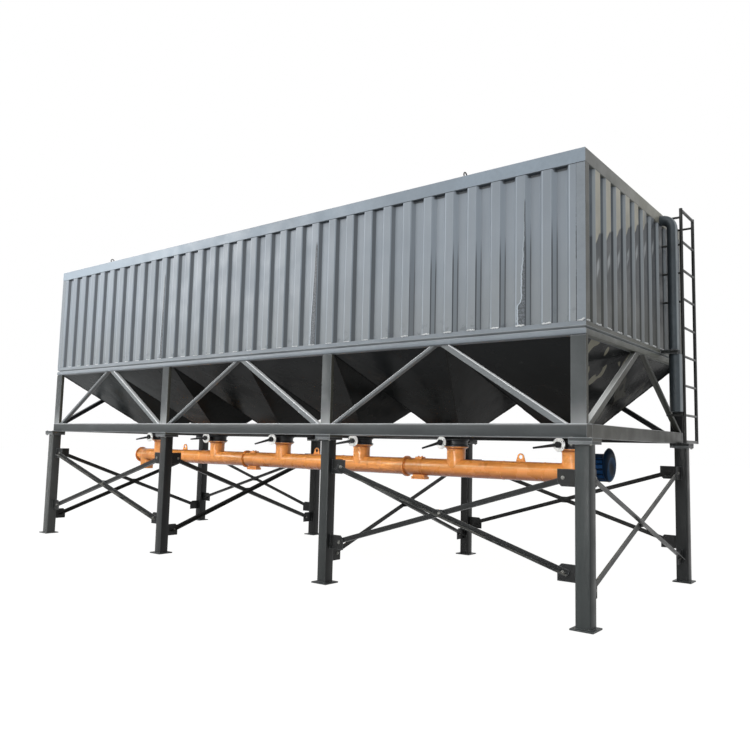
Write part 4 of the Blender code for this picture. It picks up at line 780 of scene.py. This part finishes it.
def shading_group():
    """Geometry nodes that join split corners and shade all but sharp edges smooth."""
    group = bpy.data.node_groups.new("smooth_by_angle", "GeometryNodeTree")
    group.interface.new_socket("Geometry", in_out="INPUT", socket_type="NodeSocketGeometry")
    group.interface.new_socket("Geometry", in_out="OUTPUT", socket_type="NodeSocketGeometry")
    new = group.nodes.new
    start, end = new("NodeGroupInput"), new("NodeGroupOutput")
    clean = new("GeometryNodeRemoveAttribute")
    clean.inputs["Name"].default_value = "custom_normal"
    merge = new("GeometryNodeMergeByDistance")
    merge.inputs["Distance"].default_value = 0.00002
    faces = new("GeometryNodeSetShadeSmooth")
    edges = new("GeometryNodeSetShadeSmooth")
    edges.domain = "EDGE"
    edges.inputs["Shade Smooth"].default_value = False
    angle = new("GeometryNodeInputMeshEdgeAngle")
    sharp = new("FunctionNodeCompare")
    sharp.data_type = "FLOAT"
    sharp.operation = "GREATER_THAN"
    sharp.inputs["B"].default_value = math.radians(32)
    link = group.links.new
    link(start.outputs[0], clean.inputs[0])
    link(clean.outputs[0], merge.inputs[0])
    link(merge.outputs[0], faces.inputs["Geometry"])
    link(faces.outputs[0], edges.inputs["Geometry"])
    link(angle.outputs["Unsigned Angle"], sharp.inputs["A"])
    link(sharp.outputs[0], edges.inputs["Selection"])
    link(edges.outputs[0], end.inputs[0])
    return group


SMOOTH = shading_group()


def add_shading(node):
    node.modifiers.new("smooth", "NODES").node_group = SMOOTH


# By the start of a node's name, where the first that fits counts: its paint and how far edges are broken.
LOOKS = {
    "roof": (ROOF, 0.0),
    "fill_pipe": (PIPE, 0.0),
    "ladder": (LADDER, 0.0),
    "motor": (NAVY, 0.0),
    "gearbox": (BLACK, 0.0),
    "front_wall": (FRONT_WALL, 0.0035),
    "back_wall": (BACK_WALL, 0.0035),
    "left_end_wall": (END_WALL, 0.0035),
    "right_end_wall": (END_WALL, 0.0035),
    "brace_front": (BRACE, 0.001),
    "brace_back": (SHADED_BRACE, 0.001),
    "brace_cross_4": (END_BRACE, 0.001),
    "brace_cross": (SHADED_BRACE, 0.001),
    "front_truss": (TRUSS, 0.0015),
    "back_truss": (FAR_TRUSS, 0.0015),
    "left_end_truss": (FAR_TRUSS, 0.0015),
    "right_end_truss": (END_TRUSS, 0.0015),
    "cross_beam": (FAR_TRUSS, 0.002),
    "bottom_rail": (RAIL, 0.0),
    "top_rail": (TOP_RAIL, 0.003),
    "corner_post": (RAIL, 0.003),
    "hopper": (HOPPER, 0.002),
    "valve": (VALVE, 0.0),
    "lever": (BLACK, 0.001),
    "conveyor": (ORANGE, 0.0),
}
for index in range(4):
    dress(f"leg_front_{index + 1}", FRONT_LEGS[index], 0.003)
    dress(f"leg_back_{index + 1}", BACK_LEGS[index], 0.003)
for node_name in NODES:
    for start, (material, edge) in LOOKS.items():
        if node_name.startswith(start):
            dress(node_name, material, edge)
            break


# Welds, sealant and bolts


class Details:
    """Small shapes gathered into one piece that rides on the silo."""

    def __init__(self):
        self.mesh = bmesh.new()

    def ring(self, centre, run, radius, sides):
        """Corners around centre, square to run."""
        run = run.normalized()
        side = run.cross(Vector((0, 0, 1)))
        if side.length < 0.1:
            side = run.cross(Vector((0, 1, 0)))
        side.normalize()
        up = side.cross(run)
        made = []
        for i in range(sides):
            angle = 2 * math.pi * i / sides
            offset = side * math.cos(angle) * radius + up * math.sin(angle) * radius
            made.append(self.mesh.verts.new(centre + offset))
        return made

    def skin(self, rings, closed=False):
        """Faces between rings, with both ends capped or joined to each other."""
        pairs = list(zip(rings, rings[1:]))
        if closed:
            pairs.append((rings[-1], rings[0]))
        for first, second in pairs:
            for i in range(len(first)):
                j = (i + 1) % len(first)
                self.mesh.faces.new((first[i], first[j], second[j], second[i]))
        if not closed:
            self.mesh.faces.new(list(reversed(rings[0])))
            self.mesh.faces.new(rings[-1])

    def bead(self, points, radius, rough=0.3, sides=7):
        """A lumpy weld or sealant bead along the points."""
        points = [Vector(point) for point in points]
        if len(points) < 3:
            return
        rings = []
        for i, point in enumerate(points):
            run = points[min(i + 1, len(points) - 1)] - points[max(i - 1, 0)]
            end = 0.45 if i in (0, len(points) - 1) else 1.0
            size = radius * end * (1 + rough * dice.uniform(-1, 1))
            rings.append(self.ring(point, run, size, sides))
        self.skin(rings)

    def line(self, start, end, radius):
        """A straight bead."""
        start, end, step = Vector(start), Vector(end), 0.02
        count = max(3, int((end - start).length / step))
        self.bead([start.lerp(end, i / count) for i in range(count + 1)], radius)

    def loop(self, centre, axis, reach, radius):
        """A bead all round a tube."""
        count, sides, rough = 44, 6, 0.25
        axis = Vector(axis).normalized()
        side = axis.orthogonal().normalized()
        up = axis.cross(side)
        rings = []
        for i in range(count):
            angle = 2 * math.pi * i / count
            out = side * math.cos(angle) + up * math.sin(angle)
            size = radius * (1 + rough * dice.uniform(-1, 1))
            middle = Vector(centre) + out * reach
            ring = []
            for j in range(sides):
                turn = 2 * math.pi * j / sides
                offset = (out * math.cos(turn) - axis * math.sin(turn)) * size
                ring.append(self.mesh.verts.new(middle + offset))
            rings.append(ring)
        self.skin(rings, closed=True)

    def bolt(self, place, axis, size):
        """A washer and a chamfered hexagon head, standing on place along axis."""
        place, axis = Vector(place), Vector(axis).normalized()
        washer = ((0.0, 1.25), (0.22, 1.25), (0.27, 1.18))
        head = ((0.27, 1.0), (0.85, 1.0), (0.98, 0.86))
        for outline, sides in ((washer, 20), (head, 6)):
            rings = []
            for rise, reach in outline:
                rings.append(self.ring(place + axis * size * rise, axis, size * reach, sides))
            self.skin(rings)

    def finish(self, name, material, slot_name):
        bmesh.ops.recalc_face_normals(self.mesh, faces=self.mesh.faces[:])
        data = bpy.data.meshes.new(name)
        self.mesh.to_mesh(data)
        self.mesh.free()
        data.materials.append(material)
        data.shade_smooth()
        data.set_sharp_from_angle(angle=math.radians(40))
        piece = bpy.data.objects.new(name, data)
        bpy.context.scene.collection.objects.link(piece)
        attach(piece, "silo")


def brace_ends():
    """The place and direction of each bolt through a brace's end, on the brace or on its gusset."""
    reach = GUSSET_REACH - BRACE_INSET
    found = []
    for side in (-1, 1):
        for index, (x, half) in enumerate(zip(FRAMES_X, LEG_HALF)):
            toward = 1 if index in (0, 2) else -1
            along = x + toward * (half + reach)
            for z, on_brace in zip(LONG_BRACE_LEVELS, (toward > 0, toward < 0)):
                depth = ON_BRACE if on_brace else ON_GUSSET
                found.append(((along, side * (LEG_Y + depth), z), (0, side, 0)))
            across = side * (LEG_Y - half - reach)
            sign = -1 if index == 0 else 1
            for z, on_brace in zip(CROSS_BRACE_LEVELS, (side < 0, side > 0)):
                depth = ON_BRACE if on_brace else ON_GUSSET
                found.append(((x + sign * depth, across, z), (sign, 0, 0)))
    return found


def add_bolts():
    steel = Details()
    for place, axis in brace_ends():
        steel.bolt(place, axis, BRACE_BOLT_SIZE)
    for side in (-1, 1):
        for left, right in ((0, 1), (2, 3)):
            middle = (FRAMES_X[left] + FRAMES_X[right]) / 2
            place = (middle, side * (LEG_Y + ON_CROSSING), BRACE_CROSSING_Z)
            steel.bolt(place, (0, side, 0), BRACE_BOLT_SIZE)
        y = side * (LEG_Y + FLANGE_BOLT)
        for x in FRAMES_X:
            for shift in (-FLANGE_BOLT, FLANGE_BOLT):
                steel.bolt((x + shift, y, FLANGE_TOP_Z), (0, 0, 1), FLANGE_BOLT_SIZE)
                steel.bolt((x + shift, y, FLANGE_BOTTOM_Z), (0, 0, -1), FLANGE_BOLT_SIZE)
    steel.finish("frame_bolts", BOLT, "brace_paint")
    orange = Details()
    for x in JOINTS_X:
        for i in range(8):
            angle = 2 * math.pi * (i + 0.5) / 8
            y = TUBE_BOLT_CIRCLE * math.cos(angle)
            z = TUBE_Z + TUBE_BOLT_CIRCLE * math.sin(angle)
            for sign in (-1, 1):
                orange.bolt((x + sign * TUBE_FLANGE_FACE, y, z), (sign, 0, 0), TUBE_BOLT_SIZE)
    for x in HATCHES_X:
        for along in (-HATCH_TOP_BOLT_X, HATCH_TOP_BOLT_X):
            orange.bolt((x + along, 0.0, HATCH_TOP_Z), (0, 0, 1), HATCH_TOP_BOLT_SIZE)
        for along in (-HATCH_SIDE_BOLT_X, HATCH_SIDE_BOLT_X):
            orange.bolt((x + along, HATCH_SIDE_Y, HATCH_SIDE_Z), (0, -1, 0), HATCH_SIDE_BOLT_SIZE)
    orange.finish("conveyor_bolts", ORANGE, "conveyor_paint")


def add_sealant():
    """Pale sealant where the sheets stand on the rail, thick and untidy near the right corner."""
    pale = Details()
    first, pitch, crest, _ = FRONT_SHEET
    step = 0.006
    for i in range(FRONT_CRESTS):
        start = first + pitch * i
        thick = THIN_BEAD if i < FIRST_THICK_CREST else THICK_BEAD
        points = []
        for k in range(int(crest / step) + 1):
            lift = dice.uniform(0, thick * 0.8)
            points.append((start + k * step, WALL_Y - 0.0005, RAIL_TOP_Z + lift))
        pale.bead(points, thick, 0.45, 6)
    first, pitch, crest, _ = END_SHEET
    step = 0.007
    for i in range(-1, 11):
        start = max(first + pitch * i, -END_SHEET_HALF)
        end = min(first + pitch * i + crest, END_SHEET_HALF)
        points = []
        for k in range(int((end - start) / step) + 1):
            points.append((END_X + 0.0005, start + k * step, RAIL_TOP_Z + dice.uniform(0, 0.006)))
        pale.bead(points, THICK_BEAD, 0.5, 6)
    before_corner = []
    for k in range(CORNER_BEAD_POINTS):
        lump = 0.012 * (k > 5) * dice.random()
        before_corner.append((CORNER_BEAD_X + 0.007 * k, WALL_Y - 0.001, RAIL_TOP_Z + 0.004 + lump))
    past_corner = []
    for k in range(CORNER_BEAD_POINTS):
        past_corner.append((END_X + 0.001, CORNER_BEAD_Y + 0.008 * k, RAIL_TOP_Z + 0.01 * dice.random()))
    pale.bead(before_corner, CORNER_BEAD, 0.5, 6)
    pale.bead(past_corner, CORNER_BEAD, 0.5, 6)
    pale.finish("wall_sealant", SEAL, "wall_paint")


def add_welds():
    grey = Details()
    for x in OUTLETS_X:
        for sign_x in (-1, 1):
            for sign_y in (-1, 1):
                low = (x + sign_x * NECK_HALF, sign_y * NECK_HALF, NECK_Z)
                high_x = min(max(x + sign_x * HOPPER_HALF_X, HOPPERS_LEFT_X), HOPPERS_RIGHT_X)
                grey.line(low, (high_x, sign_y * HOPPER_HALF_Y, HOPPER_TOP_Z), HOPPER_WELD)
    grey.finish("hopper_welds", HIP_WELD, "hopper_paint")
    orange = Details()
    for x in OUTLETS_X:
        points = []
        for i in range(SPOUT_STEPS + 1):
            angle = 2 * math.pi * i / SPOUT_STEPS
            along, across = SPOUT_RADIUS * math.cos(angle), SPOUT_RADIUS * math.sin(angle)
            rise = math.sqrt(TUBE_RADIUS**2 - min(across * across, 0.98 * TUBE_RADIUS**2))
            y = math.copysign(min(abs(across), TUBE_RADIUS), across)
            points.append((x + along, y, TUBE_Z + rise))
        orange.bead(points, SPOUT_WELD, 0.25)
    for x in TUBE_WELDS_X:
        orange.loop((x, 0, TUBE_Z), (1, 0, 0), TUBE_RADIUS, TUBE_WELD)
    orange.finish("conveyor_welds", ORANGE, "conveyor_paint")


def add_pipe_parts():
    """The hose sleeve round the pipe's lower end and the channel that holds the pipe to the rail."""
    middle, radius, bottom, top = SLEEVE
    sleeve = Details()
    outline = (
        (bottom, radius - 0.012), (bottom, radius - 0.002), (bottom + 0.004, radius), (top - 0.004, radius),
        (top, radius - 0.002), (top, radius - 0.012),
    )
    rings = []
    for height, reach in outline:
        rings.append(sleeve.ring(Vector((middle, PIPE_Y, height)), Vector((0.0001, 0, 1)), reach, 40))
    sleeve.skin(rings, closed=True)
    sleeve.finish("pipe_sleeve", PIPE, "pipe_paint")
    channel = Details()
    depth, height, thick = 0.022, 0.036, 0.005
    lip = 1 - 2 * thick / height
    profile = ((0, -1), (1, -1), (1, -lip), (0.25, -lip), (0.25, lip), (1, lip), (1, 1), (0, 1))
    ends = []
    for x in CHANNEL_ENDS_X:
        ring = []
        for out, lift in profile:
            place = (x, PIPE_Y - 0.046 - depth * out, CLAMP_Z + lift * height / 2)
            ring.append(channel.mesh.verts.new(place))
        ends.append(ring)
    channel.skin(ends)
    channel.finish("pipe_channel", CLAMP, "pipe_paint")


add_bolts()
add_sealant()
add_welds()
add_pipe_parts()


# Camera, light and floor


def add_camera():
    level = math.cos(CAMERA_PITCH)
    ahead = Vector((math.sin(CAMERA_YAW) * level, math.cos(CAMERA_YAW) * level, math.sin(CAMERA_PITCH)))
    side = ahead.cross(Vector((0, 0, 1))).normalized()
    up = side.cross(ahead)
    right = math.cos(CAMERA_ROLL) * side + math.sin(CAMERA_ROLL) * up
    top = -math.sin(CAMERA_ROLL) * side + math.cos(CAMERA_ROLL) * up
    data = bpy.data.cameras.new("camera")
    data.sensor_width = 36
    data.lens = CAMERA_LENS
    data.clip_end = 200
    camera = bpy.data.objects.new("camera", data)
    turn = Matrix((right, top, -ahead)).transposed().to_4x4()
    camera.matrix_world = Matrix.Translation(CAMERA_PLACE) @ turn
    bpy.context.scene.collection.objects.link(camera)
    bpy.context.scene.camera = camera


def add_lamp(name, place, target, power, width, height, spread):
    data = bpy.data.lights.new(name, "AREA")
    data.spread = math.radians(spread)
    data.shape = "RECTANGLE"
    data.energy = power
    data.size = width
    data.size_y = height
    lamp = bpy.data.objects.new(name, data)
    direction = Vector(target) - Vector(place)
    turn = direction.to_track_quat("-Z", "Y").to_matrix().to_4x4()
    lamp.matrix_world = Matrix.Translation(place) @ turn
    bpy.context.scene.collection.objects.link(lamp)


def seen_directly(tree):
    """One for rays from the camera and for those off gloss or through glass."""
    path = tree.nodes.new("ShaderNodeLightPath")
    total = None
    for name in ("Is Camera Ray", "Is Glossy Ray", "Is Transmission Ray"):
        if total is None:
            total = path.outputs[name]
            continue
        node = tree.nodes.new("ShaderNodeMath")
        node.operation = "MAXIMUM"
        tree.links.new(total, node.inputs[0])
        tree.links.new(path.outputs[name], node.inputs[1])
        total = node.outputs[0]
    return total


def add_world():
    world = bpy.data.worlds.new("studio")
    bpy.context.scene.world = world
    world.use_nodes = True
    tree = world.node_tree
    background = tree.nodes["Background"]
    background.inputs["Color"].default_value = (1, 1, 1, 1)
    strength = tree.nodes.new("ShaderNodeMapRange")
    tree.links.new(seen_directly(tree), strength.inputs[0])
    strength.inputs["To Min"].default_value = SKY_LIGHT
    strength.inputs["To Max"].default_value = SKY_SEEN
    tree.links.new(strength.outputs[0], background.inputs["Strength"])


def add_floor():
    mesh = bpy.data.meshes.new("floor")
    corners = [(x * FLOOR_REACH, y * FLOOR_REACH, 0) for x, y in ((-1, -1), (1, -1), (1, 1), (-1, 1))]
    mesh.from_pydata(corners, [], [(0, 1, 2, 3)])
    floor = bpy.data.objects.new("floor", mesh)
    bpy.context.scene.collection.objects.link(floor)
    material = bpy.data.materials.new("floor_white")
    material.use_nodes = True
    tree = material.node_tree
    plain = tree.nodes["Principled BSDF"]
    plain.inputs["Base Color"].default_value = FLOOR_COLOUR
    plain.inputs["Roughness"].default_value = 0.9
    plain.inputs["Specular IOR Level"].default_value = 0.0
    glow = tree.nodes.new("ShaderNodeEmission")
    glow.inputs["Color"].default_value = FLOOR_GLOW_COLOUR
    glow.inputs["Strength"].default_value = FLOOR_GLOW
    blend = tree.nodes.new("ShaderNodeMixShader")
    share = tree.nodes.new("ShaderNodeMath")
    share.operation = "MULTIPLY"
    share.inputs[1].default_value = FLOOR_GLOW_SHARE
    tree.links.new(seen_directly(tree), share.inputs[0])
    tree.links.new(share.outputs[0], blend.inputs[0])
    tree.links.new(plain.outputs[0], blend.inputs[1])
    tree.links.new(glow.outputs[0], blend.inputs[2])
    tree.links.new(blend.outputs[0], tree.nodes["Material Output"].inputs["Surface"])
    mesh.materials.append(material)


add_camera()
add_world()
add_floor()
for lamp in LAMPS:
    add_lamp(*lamp)
bpy.context.scene.view_settings.view_transform = "Standard"
